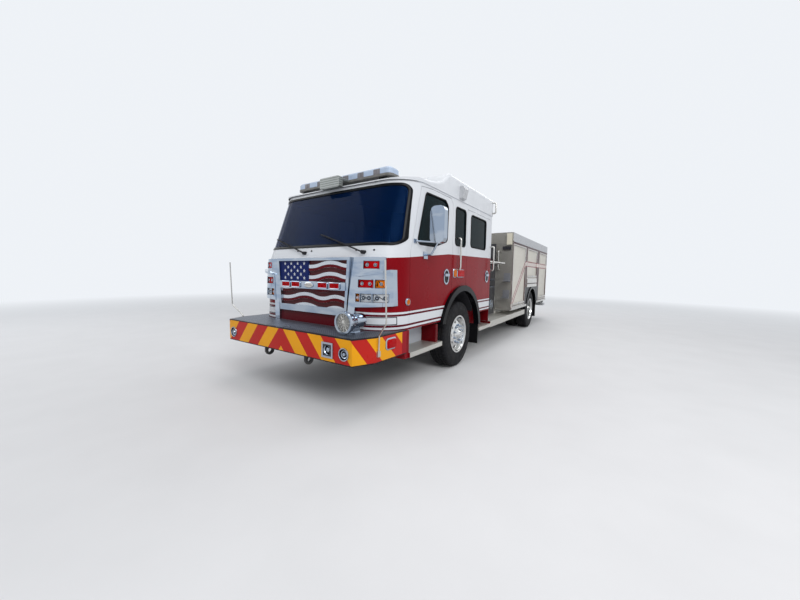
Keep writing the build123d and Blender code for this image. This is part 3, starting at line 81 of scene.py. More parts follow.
class PaintSettings(bpy.types.PropertyGroup):
    """Colours of the paint, and the pitch and lean of the chevrons"""

    red: FloatVectorProperty(
        name="Red", description="Lower cab and body", subtype="COLOR", default=(0.22, 0.0015, 0.006)
    )
    white: FloatVectorProperty(
        name="White", description="Upper cab and roof", subtype="COLOR", default=(0.66, 0.68, 0.71)
    )
    yellow: FloatVectorProperty(
        name="Yellow", description="Bumper chevrons", subtype="COLOR", default=(0.85, 0.37, 0.01)
    )
    chevron_red: FloatVectorProperty(
        name="Chevron red", description="Between the yellow", subtype="COLOR", default=(0.5, 0.02, 0.015)
    )
    chevron_pitch: FloatProperty(
        name="Chevron pitch", description="Two stripes", default=0.43, unit="LENGTH"
    )
    chevron_lean: FloatProperty(
        name="Chevron lean", description="Sideways run for each unit of height", default=0.85
    )


class TyreSettings(bpy.types.PropertyGroup):
    """Sizes of the tyres and their tread, and the number of wheel nuts"""

    radius: FloatProperty(name="Radius", description="Over the tread", default=0.534, unit="LENGTH")
    groove: FloatProperty(
        name="Groove depth", description="Tread grooves", default=0.013, unit="LENGTH"
    )
    blocks: IntProperty(name="Blocks", description="Tread blocks round a tyre", default=54, min=20)
    front_width: FloatProperty(
        name="Front width", description="Over the sidewalls", default=0.314, unit="LENGTH"
    )
    rear_width: FloatProperty(
        name="Rear width", description="Over the sidewalls", default=0.284, unit="LENGTH"
    )
    nuts: IntProperty(name="Nuts", description="Wheel nuts on a wheel", default=10, min=5)


class SealSettings(bpy.types.PropertyGroup):
    """Sizes of the window seals and of the windscreen's border"""

    width: FloatProperty(
        name="Width", description="Rubber seal round a side window", default=0.021, unit="LENGTH"
    )
    proud: FloatProperty(
        name="Height", description="How far it stands out", default=0.007, unit="LENGTH"
    )
    windscreen: FloatProperty(
        name="Windscreen", description="Black border of the windscreen", default=0.022, unit="LENGTH"
    )


# Finishes


def shade(colour, share):
    """A colour made darker or lighter."""
    return tuple(channel * share for channel in colour)


class Finish:
    """A node material, built up from patterns measured on the object in metres."""

    def __init__(self, name, colour=(0.5, 0.5, 0.5), roughness=0.4, metallic=0.0, **sockets):
        self.material = bpy.data.materials.new(name)
        self.material.use_nodes = True
        self.tree = self.material.node_tree
        self.shader = self.tree.nodes["Principled BSDF"]
        self.shader.inputs["Base Color"].default_value = (*colour, 1.0)
        self.shader.inputs["Roughness"].default_value = roughness
        self.shader.inputs["Metallic"].default_value = metallic
        for socket, value in sockets.items():
            self.shader.inputs[socket.replace("_", " ")].default_value = value
        self.coordinates = self.tree.nodes.new("ShaderNodeTexCoord")
        self.place = self.coordinates.outputs["Object"]
        self.x, self.y, self.z = self.split(self.place)
        self.height = None

    def set(self, socket, value):
        """Gives a socket a number, a colour or another node's output."""
        if isinstance(value, bpy.types.NodeSocket):
            self.tree.links.new(value, socket)
        elif isinstance(value, tuple) and len(value) == 3 and len(socket.default_value) == 4:
            socket.default_value = (*value, 1.0)
        else:
            socket.default_value = value

    def math(self, operation, *values):
        """The result of one sum on numbers or other nodes' outputs."""
        node = self.tree.nodes.new("ShaderNodeMath")
        node.operation = operation
        for socket, value in zip(node.inputs, values):
            self.set(socket, value)
        return node.outputs[0]

    def times(self, first, second):
        return self.math("MULTIPLY", first, second)

    def plus(self, first, second):
        return self.math("ADD", first, second)

    def minus(self, first, second):
        return self.math("SUBTRACT", first, second)

    def over(self, first, second):
        return self.math("DIVIDE", first, second)

    def size(self, value):
        """A value without its sign."""
        return self.math("ABSOLUTE", value)

    def below(self, value, limit):
        """1 where a value is under a limit."""
        return self.math("LESS_THAN", value, limit)

    def above(self, value, limit):
        """1 where a value is over a limit."""
        return self.math("GREATER_THAN", value, limit)

    def fraction(self, value):
        """What a value has over its whole number, for patterns that repeat."""
        return self.math("FRACT", value)

    def sine(self, value):
        return self.math("SINE", value)

    def split(self, vector):
        """The three parts of a vector."""
        node = self.tree.nodes.new("ShaderNodeSeparateXYZ")
        self.set(node.inputs[0], vector)
        return node.outputs[0], node.outputs[1], node.outputs[2]

    def near(self, value, middle, reach):
        """1 where a value is within reach of the middle."""
        return self.math("COMPARE", value, middle, reach)

    def ramp(self, value, low, high, start=0.0, end=1.0):
        """Runs from start to end while a value runs from low to high."""
        node = self.tree.nodes.new("ShaderNodeMapRange")
        for socket, number in zip(node.inputs, (value, low, high, start, end)):
            self.set(socket, number)
        return node.outputs[0]

    def line(self, value, points):
        """A broken line through points of a value and its height."""
        total = points[0][1]
        for (v0, h0), (v1, h1) in zip(points, points[1:]):
            total = self.plus(total, self.ramp(value, v0, v1, 0.0, h1 - h0))
        return total

    def noise(self, scale, detail=3.0, stretch=(1.0, 1.0, 1.0)):
        """Soft noise from 0 to 1, stretched along an axis where its factor is small."""
        where = self.place
        if stretch != (1.0, 1.0, 1.0):
            mapping = self.tree.nodes.new("ShaderNodeMapping")
            self.set(mapping.inputs["Vector"], self.place)
            mapping.inputs["Scale"].default_value = stretch
            where = mapping.outputs[0]
        node = self.tree.nodes.new("ShaderNodeTexNoise")
        self.set(node.inputs["Vector"], where)
        node.inputs["Scale"].default_value = scale
        node.inputs["Detail"].default_value = detail
        return node.outputs["Fac"]

    def mix(self, mask, first, second):
        """The first colour where the mask is 0, the second where it is 1."""
        node = self.tree.nodes.new("ShaderNodeMix")
        node.data_type = "RGBA"
        self.set(node.inputs[0], mask)
        self.set(node.inputs[6], first)
        self.set(node.inputs[7], second)
        return node.outputs[2]

    def vary(self, colour, amount, scale=6.0):
        """A colour with a soft darker mottling."""
        mask = self.ramp(self.noise(scale), 0.3, 0.7)
        if isinstance(colour, tuple):
            darker = shade(colour, 1.0 - amount)
        else:
            darker = self.mix(amount, colour, (0.0, 0.0, 0.0))
        return self.mix(mask, darker, colour)

    def colour(self, value):
        """Gives the surface its colour."""
        self.set(self.shader.inputs["Base Color"], value)
        return self

    def rough(self, low, high, scale=20.0, stretch=(1.0, 1.0, 1.0)):
        """Roughness that wanders between two levels."""
        level = self.ramp(self.noise(scale, 4.0, stretch), 0.3, 0.7, low, high)
        self.set(self.shader.inputs["Roughness"], level)
        return self

    def bump(self, height, distance, strength=1.0):
        """Roughens the surface by a height, over any bump that it has already."""
        node = self.tree.nodes.new("ShaderNodeBump")
        node.inputs["Strength"].default_value = strength
        node.inputs["Distance"].default_value = distance
        self.set(node.inputs["Height"], height)
        if self.height:
            self.set(node.inputs["Normal"], self.height)
        self.height = node.outputs[0]
        self.set(self.shader.inputs["Normal"], self.height)
        return self

    def flat(self):
        """Two directions in the plane of the face, whichever way it looks."""
        nx, _, nz = self.split(self.coordinates.outputs["Normal"])
        side = self.above(self.size(nx), 0.7)
        level = self.above(self.size(nz), 0.7)
        across = self.plus(self.times(side, self.y), self.times(self.minus(1.0, side), self.x))
        along = self.plus(self.times(level, self.y), self.times(self.minus(1.0, level), self.z))
        return across, along

    def lozenges(self, pitch=0.032):
        """Raised lozenges that lean left and right by turns, 0 to 1."""
        across, along = self.flat()
        s = self.over(self.plus(across, along), pitch)
        t = self.over(self.minus(across, along), pitch)
        cell = self.plus(self.math("FLOOR", s), self.math("FLOOR", t))
        parity = self.math("MODULO", self.size(cell), 2.0)
        fs = self.minus(self.fraction(s), 0.5)
        ft = self.minus(self.fraction(t), 0.5)
        along_pull, across_pull = 4.6, 30.0
        pull_s = self.ramp(parity, 0.0, 1.0, along_pull, across_pull)
        pull_t = self.ramp(parity, 0.0, 1.0, across_pull, along_pull)
        spread = self.plus(self.times(self.times(fs, fs), pull_s), self.times(self.times(ft, ft), pull_t))
        return self.ramp(spread, 1.0, 0.5)


def chevrons(finish, paint, across, top):
    """1 on the yellow stripes, which fall away from the middle of the vehicle."""
    pitch = paint.chevron_pitch
    lean = finish.times(finish.minus(top, finish.z), paint.chevron_lean)
    # Whole pitches keep the number above zero, and the last term moves the middle stripe's edge
    turn = finish.over(finish.plus(finish.minus(across, lean), 4 * pitch - 0.03), pitch)
    return finish.below(finish.fraction(turn), 0.5)


def orange_peel(finish):
    """The faint ripple of sprayed paint, with dust that dulls it in places."""
    finish.set(finish.shader.inputs["IOR"], 1.16)
    finish.bump(finish.noise(260.0, 2.0), 0.0004, 0.15)
    return finish.rough(0.16, 0.3, 3.0)


def cab_paint(paint):
    """White over red along a rising line, with a set of white stripes low down, and painted shade that
    darkens the red below the grille.
    """
    finish = Finish("cab_paint", Coat_Weight=0.03, Coat_Roughness=0.06)
    rise = [(-2.05, 1.672), (-1.645, 1.7), (-0.526, 1.803), (1.39, 1.837)]
    edge = finish.line(finish.y, [(at(station), height) for station, height in rise])
    upper = finish.above(finish.z, edge)
    colour = finish.vary(tuple(paint.red), 0.12, 2.0)
    white = finish.vary(tuple(paint.white), 0.05, 1.5)
    outside = finish.above(finish.size(finish.x), 0.72)
    # Middle and half height of the dark band and of the three stripes on it
    stripes = [(0.949, 0.108, (0.1, 0.004, 0.012)), (1.041, 0.012, tuple(paint.white)),
               (0.954, 0.05, tuple(paint.white)), (0.866, 0.013, tuple(paint.white))]
    for middle, reach, tint in stripes:
        band = finish.times(finish.near(finish.z, middle, reach), outside)
        colour = finish.mix(band, colour, tint)
    # Thin dark frame round a field of the broad stripe, ahead of the front wheel
    outer, inner = (
        finish.times(finish.near(finish.z, 0.954, reach), finish.near(finish.y, at(-1.93), run))
        for reach, run in ((0.047, 0.13), (0.037, 0.12))
    )
    outline = finish.minus(outer, inner)
    colour = finish.mix(finish.times(outline, outside), colour, (0.02, 0.02, 0.03))
    # Painted shade: the red in the middle of the front, below the grille, is darkened
    shade_below_grille = finish.times(finish.below(finish.z, 1.02), finish.minus(1.0, outside))
    colour = finish.mix(shade_below_grille, colour, (0.1, 0.004, 0.009))
    colour = finish.mix(upper, colour, white)
    return orange_peel(finish.colour(colour)).material


def plain_paint(name, colour):
    """Sprayed paint in one colour."""
    finish = Finish(name, Coat_Weight=0.03, Coat_Roughness=0.08)
    finish.colour(finish.vary(tuple(colour), 0.08, 2.5))
    return orange_peel(finish).material


def bumper_paint(paint):
    """Red and yellow chevrons with a black edge along the top."""
    finish = Finish("bumper_chevrons", Coat_Weight=0.03, Coat_Roughness=0.1, IOR=1.2)
    behind = finish.times(finish.minus(finish.y, at(-2.522)), 0.85)
    across = finish.plus(finish.size(finish.x), behind)
    stripes = chevrons(finish, paint, across, 0.843)
    colour = finish.mix(stripes, tuple(paint.chevron_red), tuple(paint.yellow))
    rear = finish.above(finish.y, at(-1.79))
    colour = finish.mix(rear, colour, (0.3, 0.004, 0.012))
    edges = finish.math("MAXIMUM", finish.above(finish.z, 0.83), finish.below(finish.z, 0.571))
    colour = finish.mix(edges, colour, (0.015, 0.015, 0.018))
    cells = finish.tree.nodes.new("ShaderNodeTexVoronoi")
    finish.set(cells.inputs["Vector"], finish.place)
    cells.inputs["Scale"].default_value = 160.0
    finish.bump(cells.outputs["Distance"], 0.0004, 0.25)
    finish.colour(finish.vary(colour, 0.12, 3.0))
    return finish.rough(0.25, 0.38, 5.0).material


def horn_metal():
    """Chrome with a black panel on the speaker's square face."""
    finish = Finish("horn_metal", HORN_CHROME, 0.08, 1.0)
    half = 0.062
    panel = finish.times(finish.near(finish.x, 0.795, half), finish.near(finish.z, 0.69, half))
    panel = finish.times(panel, finish.below(finish.y, at(-2.53)))
    finish.colour(finish.mix(panel, finish.vary(HORN_CHROME, 0.1, 9.0), (0.015, 0.015, 0.017)))
    finish.set(finish.shader.inputs["Metallic"], finish.minus(1.0, panel))
    finish.set(finish.shader.inputs["Roughness"], finish.ramp(panel, 0.0, 1.0, 0.08, 0.5))
    return finish.material


def step_well():
    """Pale risers behind the front steps, and past their rear ends and behind the rear steps the red paint
    darkened as painted shade.
    """
    finish = Finish("step_well")
    pale = finish.below(finish.y, at(-0.868))
    finish.colour(finish.mix(pale, finish.vary(SHADED_RED, 0.15, 3.0), (0.5, 0.53, 0.58)))
    return orange_peel(finish).material


def tread_metal(name="treadplate", colour=(0.62, 0.63, 0.65), roughness=0.3):
    """Bright metal plate with raised lozenges and duller flats between them."""
    finish = Finish(name, colour, roughness, 0.9)
    lozenge = finish.lozenges()
    finish.colour(finish.vary(finish.mix(lozenge, shade(colour, 0.72), colour), 0.07, 4.0))
    level = finish.ramp(lozenge, 0.0, 1.0, roughness + 0.14, roughness - 0.06)
    finish.set(finish.shader.inputs["Roughness"], level)
    return finish.bump(lozenge, 0.0016, 0.9).material


def plated(name, colour):
    """Bright plating with painted reflections: darker on faces that look down, and darker and bluer in
    patches on those that look ahead.
    """
    finish = Finish(name, colour, 0.08, 1.0)
    _, ny, nz = finish.split(finish.coordinates.outputs["Normal"])
    # Painted reflection: faces that look down are darkened
    low = finish.ramp(nz, 0.35, -0.35)
    # Painted reflection: soft patches, darker and bluer, on faces that look ahead
    painted_reflection_patches = finish.ramp(finish.noise(3.0, 2.0, (1.0, 1.0, 3.0)), 0.42, 0.58)
    depth = finish.times(painted_reflection_patches, finish.ramp(ny, -0.2, -0.9, 0.2, 0.75))
    painted_reflection_colour = tuple(channel * share for channel, share in zip(colour, (0.42, 0.55, 0.72)))
    finish.colour(finish.mix(low, finish.mix(depth, colour, painted_reflection_colour), shade(colour, 0.75)))
    finish.bump(finish.noise(420.0, 2.0), 0.0002, 0.2)
    return finish.rough(0.05, 0.12, 14.0).material


def polished(name, colour, low, high, metallic=1.0, grain=(1.0, 1.0, 1.0)):
    """Bare or plated metal with a fine directional grain and a little haze."""
    finish = Finish(name, colour, low, metallic)
    finish.colour(finish.vary(tuple(colour), 0.1, 9.0))
    finish.bump(finish.noise(420.0, 2.0, grain), 0.0002, 0.2)
    return finish.rough(low, high, 14.0, grain).material


def dark_metal(name, colour, roughness):
    """Chassis paint, dulled by road dust lower down."""
    finish = Finish(name)
    dusty = finish.times(finish.ramp(finish.z, 0.9, 0.3), finish.ramp(finish.noise(7.0, 5.0), 0.4, 0.7))
    finish.colour(finish.mix(finish.times(dusty, 0.35), colour, (0.2, 0.18, 0.15)))
    finish.bump(finish.noise(120.0, 3.0), 0.0008, 0.3)
    return finish.rough(roughness - 0.1, roughness + 0.15, 8.0).material


def rubber(name, colour=(0.012, 0.012, 0.014), low=0.35, high=0.6, scale=300.0):
    """Moulded rubber or plastic with a fine grain."""
    finish = Finish(name, colour, low, IOR=1.2)
    finish.colour(finish.vary(tuple(colour), 0.3, 12.0))
    finish.bump(finish.noise(scale, 3.0), 0.0006, 0.35)
    return finish.rough(low, high, 30.0).material


def tyre_rubber():
    """Black rubber, browner and duller where the tread and sidewall pick up dust."""
    finish = Finish("tyre_rubber", IOR=1.25)
    dust = finish.ramp(finish.noise(9.0, 6.0), 0.45, 0.8, 0.0, 0.5)
    finish.colour(finish.mix(dust, (0.009, 0.009, 0.011), (0.035, 0.032, 0.029)))
    finish.bump(finish.noise(380.0, 4.0), 0.0008, 0.4)
    return finish.rough(0.55, 0.8, 18.0).material


def glass(name="tinted_glass", colour=(0.006, 0.04, 0.16), tint=(0.1, 0.32, 0.8)):
    """Dark tinted glazing with a thin film of dust."""
    finish = Finish(name, colour, 0.02, 0.0, Transmission_Weight=0.8, IOR=1.12, Specular_IOR_Level=0.4)
    # Painted reflection: the specular tint colours what the glass reflects, blue for the sky by default and
    # green for trees on the side windows
    finish.set(finish.shader.inputs["Specular Tint"], tint)
    finish.colour(finish.vary(tuple(colour), 0.2, 2.0))
    return finish.rough(0.0, 0.05, 4.0).material


def lens(name, colour, ribs=180.0, **sockets):
    """Moulded lamp lens with fine ribs behind a clear face."""
    finish = Finish(name, colour, 0.12, 0.0, Coat_Weight=0.02, Coat_Roughness=0.03, IOR=1.12, **sockets)
    across, along = finish.flat()
    upright = finish.size(finish.sine(finish.times(across, ribs * math.pi)))
    ridge = finish.times(upright, finish.size(finish.sine(finish.times(along, 130.0 * math.pi))))
    finish.colour(finish.mix(finish.ramp(ridge, 0.0, 0.8), shade(colour, 0.35), colour))
    return finish.bump(ridge, 0.002, 0.5).material


def bar_lens():
    """Clear lens of the light bar, with grey lamp modules standing behind it."""
    finish = Finish("lightbar_lens", (0.5, 0.6, 0.74), 0.1, Coat_Weight=0.05, Coat_Roughness=0.03, IOR=1.2)
    spacing = 0.27
    place = finish.fraction(finish.over(finish.size(finish.x), spacing))
    module = finish.times(finish.near(place, 0.45, 0.2), finish.below(finish.z, 2.835))
    clear = finish.vary((0.44, 0.53, 0.67), 0.1, 6.0)
    finish.colour(finish.mix(module, clear, finish.vary((0.24, 0.23, 0.245), 0.4, 25.0)))
    return finish.rough(0.05, 0.14, 8.0).material


def louvred(name, colour):
    """Grey metal with level louvres and painted shade in the gaps between them."""
    finish = Finish(name, colour, 0.35, 0.5)
    spacing = 0.028
    # Painted shade: the gaps between the louvres are darkened
    shaded_gap = finish.below(finish.fraction(finish.over(finish.z, spacing)), 0.25)
    finish.colour(finish.mix(shaded_gap, finish.vary(colour, 0.1, 9.0), shade(colour, 0.35)))
    return finish.rough(0.3, 0.45, 12.0).material


def grille_backing():
    """Dark red behind the slats, white behind the plate with the stars."""
    finish = Finish("grille_backing", Specular_IOR_Level=0.2)
    stars = finish.times(finish.below(finish.x, -0.052), finish.above(finish.z, 1.385))
    finish.colour(finish.mix(stars, finish.vary((0.075, 0.004, 0.007), 0.3, 5.0), (0.75, 0.77, 0.8)))
    return finish.rough(0.35, 0.5, 8.0).material


def slat_metal(paint):
    """Satin slats crossed by a double red stripe that climbs the first shutter and runs level behind."""
    finish = Finish("shutter_slats", SHUTTER_METAL, 0.4, 0.2)
    finish.colour(side_stripes(finish, paint, finish.vary(SHUTTER_METAL, 0.1, 3.0)))
    finish.bump(finish.noise(300.0, 2.0, (1.0, 0.08, 1.0)), 0.0003, 0.3)
    return finish.rough(0.34, 0.5, 10.0, (1.0, 0.1, 1.0)).material


def side_stripes(finish, paint, colour):
    """Paints the body's double stripe over a colour, outside the body's sides only."""
    outside = finish.above(finish.size(finish.x), 1.23)
    middle = finish.line(finish.y, [(at(2.93), 0.73), (at(4.2), 1.77)])
    slope = finish.ramp(finish.y, at(4.2), at(4.21), 0.02, 0.012)
    between = finish.near(finish.z, finish.plus(middle, 0.062), 0.062)
    colour = finish.mix(finish.times(between, outside), colour, (0.66, 0.58, 0.54))
    for rise in (0.0, 0.125):
        band = finish.near(finish.z, finish.plus(middle, rise), slope)
        colour = finish.mix(finish.times(band, outside), colour, tuple(paint.red))
    return colour


def body_paint(paint):
    """Dark red behind the body's double stripe, black over the rear wheels."""
    finish = Finish("body_paint")
    arch = finish.times(finish.near(finish.y, at(5.12), 0.88), finish.below(finish.z, 1.2))
    maroon = finish.mix(arch, finish.vary((0.06, 0.008, 0.01), 0.15, 2.0), (0.01, 0.01, 0.014))
    return orange_peel(finish.colour(side_stripes(finish, paint, maroon))).material


def rear_paint(paint):
    """Red and yellow chevrons on the body's rear."""
    finish = Finish("rear_chevrons", Coat_Weight=0.3, Coat_Roughness=0.1)
    stripes = chevrons(finish, paint, finish.size(finish.x), 2.4)
    finish.colour(finish.mix(stripes, tuple(paint.chevron_red), tuple(paint.yellow)))
    return finish.rough(0.25, 0.4, 5.0).material


def woven(name, colour):
    """Heavy seat cloth: a square weave with a soft nap."""
    finish = Finish(name, colour, 0.85, 0.0, Sheen_Weight=0.25)
    across, along = finish.flat()
    threads = 1800.0
    warp = finish.sine(finish.times(across, threads))
    weft = finish.sine(finish.times(along, threads))
    weave = finish.times(warp, weft)
    cloth = finish.mix(finish.ramp(weave, -1.0, 1.0), colour, shade(colour, 1.7))
    finish.colour(finish.vary(cloth, 0.2, 20.0))
    return finish.bump(weave, 0.0012, 0.5).material


class Materials:
    """Every finish of the vehicle, made once."""

    def __init__(self, paint):
        self.cab = cab_paint(paint)
        self.red = plain_paint("red_paint", paint.red)
        self.white = plain_paint("white_paint", paint.white)
        self.bumper = bumper_paint(paint)
        self.slats = slat_metal(paint)
        self.tread = tread_metal()
        # Darker, warmer treadplate: painted shade on the body's front wall
        self.shaded_warm_tread = tread_metal("shaded_warm_treadplate", (0.4, 0.385, 0.35), 0.34)
        self.bright_tread = tread_metal("bright_treadplate", (0.8, 0.78, 0.72), 0.34)
        self.shaded_red = plain_paint("shaded_red", SHADED_RED)
        self.step_well = step_well()
        self.horns = horn_metal()
        self.dark_tread = tread_metal("shaded_treadplate", (0.36, 0.37, 0.4), 0.36)
        # Dark blue-grey treadplate: the bright bumper deck in painted shade
        self.shaded_deck_tread = tread_metal("shaded_deck_treadplate", (0.17, 0.19, 0.235), 0.34)
        self.chrome = plated("chrome", (0.5, 0.56, 0.64))
        self.stainless = polished("stainless", (0.6, 0.59, 0.56), 0.2, 0.34, 1.0, (1.0, 1.0, 0.1))
        self.satin = polished("satin_aluminium", (0.62, 0.6, 0.57), 0.34, 0.48, 0.9)
        self.alloy = polished("polished_aluminium", (0.74, 0.74, 0.73), 0.1, 0.22)
        self.black_steel = dark_metal("black_steel", (0.02, 0.02, 0.022), 0.5)
        self.iron = dark_metal("engine_iron", (0.2, 0.21, 0.22), 0.6)
        self.panel = dark_metal("black_panel", (0.035, 0.035, 0.04), 0.45)
        self.rubber = rubber("black_rubber", (0.006, 0.006, 0.007), 0.6, 0.8)
        self.gloss = rubber("black_gloss", (0.005, 0.0055, 0.007), 0.12, 0.25, 90.0)
        self.plastic = rubber("black_plastic", (0.022, 0.022, 0.025), 0.45, 0.65, 500.0)
        self.mat = rubber("rubber_mat", (0.035, 0.035, 0.04), 0.6, 0.85, 150.0)
        self.lining = rubber("cab_lining", (0.07, 0.07, 0.078), 0.6, 0.8, 200.0)
        self.tyre = tyre_rubber()
        self.glass = glass()
        # Greener than the windscreen as a painted reflection of trees; the real glass is the same all round
        self.side_glass = glass("side_glass_painted_reflection", (0.014, 0.05, 0.06), (0.13, 0.4, 0.46))
        self.mirror = polished("mirror_glass", (0.85, 0.87, 0.9), 0.01, 0.03)
        self.red_lens = lens("red_lens", (0.62, 0.002, 0.006))
        self.amber_lens = lens("amber_lens", (0.85, 0.2, 0.002))
        self.clear_lens = lens("clear_lens", (0.75, 0.77, 0.8))
        self.smoked_lens = lens("smoked_lens", (0.05, 0.05, 0.06))
        self.bar_lens = bar_lens()
        self.bar_tray = rubber("lightbar_tray", (0.2, 0.195, 0.185), 0.35, 0.5, 120.0)
        self.bar_box = louvred("lightbar_box", (0.3, 0.32, 0.31))
        self.tank = rubber("tank_plastic", (0.6, 0.6, 0.57), 0.5, 0.7, 60.0)
        self.cloth = woven("seat_cloth", (0.03, 0.03, 0.036))
        self.blue = plain_paint("grille_blue", (0.004, 0.015, 0.11))
        self.slat_white = polished("grille_white", (0.6, 0.63, 0.68), 0.16, 0.3, 0.8)
        self.slat_red = plain_paint("grille_red", (0.11, 0.004, 0.009))
        self.backing = grille_backing()
        self.cream = plain_paint("lamp_housing", (0.72, 0.68, 0.56))


# Making pieces


def finish_piece(obj, body, materials):
    """Links a piece, gives it its finishes and makes it ride on a body."""
    bpy.context.scene.collection.objects.link(obj)
    if not isinstance(materials, (list, tuple)):
        materials = [materials]
    for material in materials:
        obj.data.materials.append(material)
    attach(obj, body)
    return obj


def piece(name, build, body, materials, smooth=40.0):
    """A piece made in a bmesh by a function."""
    mesh = bpy.data.meshes.new(name)
    bm = bmesh.new()
    build(bm)
    bmesh.ops.recalc_face_normals(bm, faces=bm.faces)
    bm.to_mesh(mesh)
    bm.free()
    if smooth:
        mesh.shade_smooth()
        mesh.set_sharp_from_angle(angle=math.radians(smooth))
    return finish_piece(bpy.data.objects.new(name, mesh), body, materials)


def dress(name, *materials):
    """Puts finishes on a CAD node, the first on every face."""
    mesh = NODES[name].data
    mesh.materials.clear()
    for material in materials:
        mesh.materials.append(material)
    for face in mesh.polygons:
        face.material_index = 0


def dress_faces(name, materials, choose):
    """Puts finishes on a CAD node by a rule on each face's middle and direction."""
    dress(name, *materials)
    for face in NODES[name].data.polygons:
        face.material_index = choose(face.center, face.normal)


def round_pairs(items):
    """Each item with the next one, round a loop."""
    return zip(items, items[1:] + items[:1])


def sideways(way, x, y=0.0, z=0.0):
    """A point or step whose width is measured outwards on a side."""
    return Vector((way * x, y, z))


def box(bm, low, high, bevel=0.0, material=0):
    """A box between two corners, with rounded edges."""
    low, high = Vector(low), Vector(high)
    made = bmesh.ops.create_cube(bm, size=1.0)
    stretch = Matrix.Diagonal((*(high - low), 1.0))
    bmesh.ops.transform(bm, matrix=Matrix.Translation((low + high) / 2) @ stretch, verts=made["verts"])
    for face in {face for vert in made["verts"] for face in vert.link_faces}:
        face.material_index = material
    if bevel:
        # Each edge once, in the same order on every run
        edges = list(dict.fromkeys(edge for vert in made["verts"] for edge in vert.link_edges))
        bmesh.ops.bevel(bm, geom=edges, offset=bevel, segments=2, affect="EDGES", profile=0.6)


def side_box(bm, way, low, high, bevel):
    """A box between two corners whose widths are measured outwards on a side."""
    inner, outer = sorted((way * low[0], way * high[0]))
    box(bm, (inner, *low[1:]), (outer, *high[1:]), bevel)


def spin(bm, profile, centre, axis, count=32, material=0):
    """A closed or open profile of distances along an axis and radii, turned about it."""
    axis = Vector(axis).normalized()
    side = axis.orthogonal().normalized()
    up = axis.cross(side)
    rings = []
    for turn in range(count):
        angle = 2 * math.pi * turn / count
        out = side * math.cos(angle) + up * math.sin(angle)
        rings.append([bm.verts.new(Vector(centre) + axis * a + out * r) for a, r in profile])
    nothing = 1e-6
    for loop, after in round_pairs(rings):
        for k in range(len(profile) - 1):
            corners = [loop[k], after[k], after[k + 1], loop[k + 1]]
            if profile[k][1] < nothing:
                corners = [loop[k], after[k + 1], loop[k + 1]]
            elif profile[k + 1][1] < nothing:
                corners = [loop[k], after[k], loop[k + 1]]
            bm.faces.new(corners).material_index = material
    bmesh.ops.remove_doubles(bm, verts=[vert for loop in rings for vert in loop], dist=nothing)


def nut(bm, centre, axis, radius, height, material=0):
    """A hexagon nut with a domed end."""
    profile = [(0.0, radius), (height * 0.75, radius), (height, radius * 0.72), (height * 1.15, 0.0)]
    spin(bm, profile, centre, axis, 6, material)


def tube(bm, points, radius, count=12, material=0):
    """A round bar through points, with flat ends."""
    points = [Vector(point) for point in points]
    rings = []
    for k, point in enumerate(points):
        before = points[max(k - 1, 0)]
        after = points[min(k + 1, len(points) - 1)]
        run = (after - before).normalized()
        side = run.orthogonal().normalized() if k == 0 else (side - run * side.dot(run)).normalized()
        up = run.cross(side)
        rings.append([
            bm.verts.new(point + (side * math.cos(a) + up * math.sin(a)) * radius)
            for a in (2 * math.pi * turn / count for turn in range(count))
        ])
    for loop, after in zip(rings, rings[1:]):
        for (a, b), (c, d) in zip(round_pairs(loop), round_pairs(after)):
            bm.faces.new([a, b, d, c]).material_index = material
    for loop in (rings[0], rings[-1]):
        bm.faces.new(loop).material_index = material


def rounded(points, radius, steps=6):
    """Points and outward directions round a convex outline with round corners."""
    centre = sum((Vector(point) for point in points), Vector((0.0, 0.0))) / len(points)
    made = []
    for k, corner in enumerate(points):
        corner = Vector(corner)
        before = (Vector(points[k - 1]) - corner).normalized()
        after = (Vector(points[(k + 1) % len(points)]) - corner).normalized()
        half = before.angle(after) / 2
        middle = corner + (before + after).normalized() * (radius / math.sin(half))
        first = corner + before * (radius / math.tan(half)) - middle
        last = corner + after * (radius / math.tan(half)) - middle
        turn = first.angle_signed(last)
        for step in range(steps + 1):
            out = first.copy()
            out.rotate(Matrix.Rotation(-turn * step / steps, 2))
            made.append((middle + out, out.normalized()))
    if (made[0][0] - centre).dot(made[0][1]) < 0:
        made = [(point, -out) for point, out in made]
    return made


def ring(bm, outline, section, place, material=0):
    """A seal: a closed section of offsets outwards and heights, carried round an outline."""
    loops = [
        [bm.verts.new(place(point + out * away, lift)) for away, lift in section]
        for point, out in outline
    ]
    for loop, after in round_pairs(loops):
        for (a, b), (c, d) in zip(round_pairs(loop), round_pairs(after)):
            bm.faces.new([a, c, d, b]).material_index = material


def oval(centre_x, centre_z, a, b, count=32):
    """Points and outward directions round an oval."""
    made = []
    for turn in range(count):
        angle = 2 * math.pi * turn / count
        out = Vector((b * math.cos(angle), a * math.sin(angle))).normalized()
        made.append((Vector((centre_x + a * math.cos(angle), centre_z + b * math.sin(angle))), out))
    return made


def box_outline(x0, x1, z0, z1, radius, steps=4):
    """Points and outward directions round a rectangle with round corners."""
    return rounded([(x0, z0), (x0, z1), (x1, z1), (x1, z0)], radius, steps)


def dome(bm, outline, levels, place, material=0):
    """A plate or cap: an outline moved outwards by steps, each with its height, and closed on top."""
    loops = [
        [bm.verts.new(place(point + out * grow, lift)) for point, out in outline]
        for grow, lift in levels
    ]
    for loop, after in zip(loops, loops[1:]):
        for (a, b), (c, d) in zip(round_pairs(loop), round_pairs(after)):
            bm.faces.new([a, b, d, c]).material_index = material
    bm.faces.new(loops[-1]).material_index = material


def front_plane(station):
    """Places widths and heights on an upright plane that faces forwards."""
    return lambda point, lift: Vector((point[0], at(station) - lift, point[1]))


def rear_plane(station):
    """Places widths and heights on an upright plane that faces backwards."""
    return lambda point, lift: Vector((point[0], at(station) + lift, point[1]))


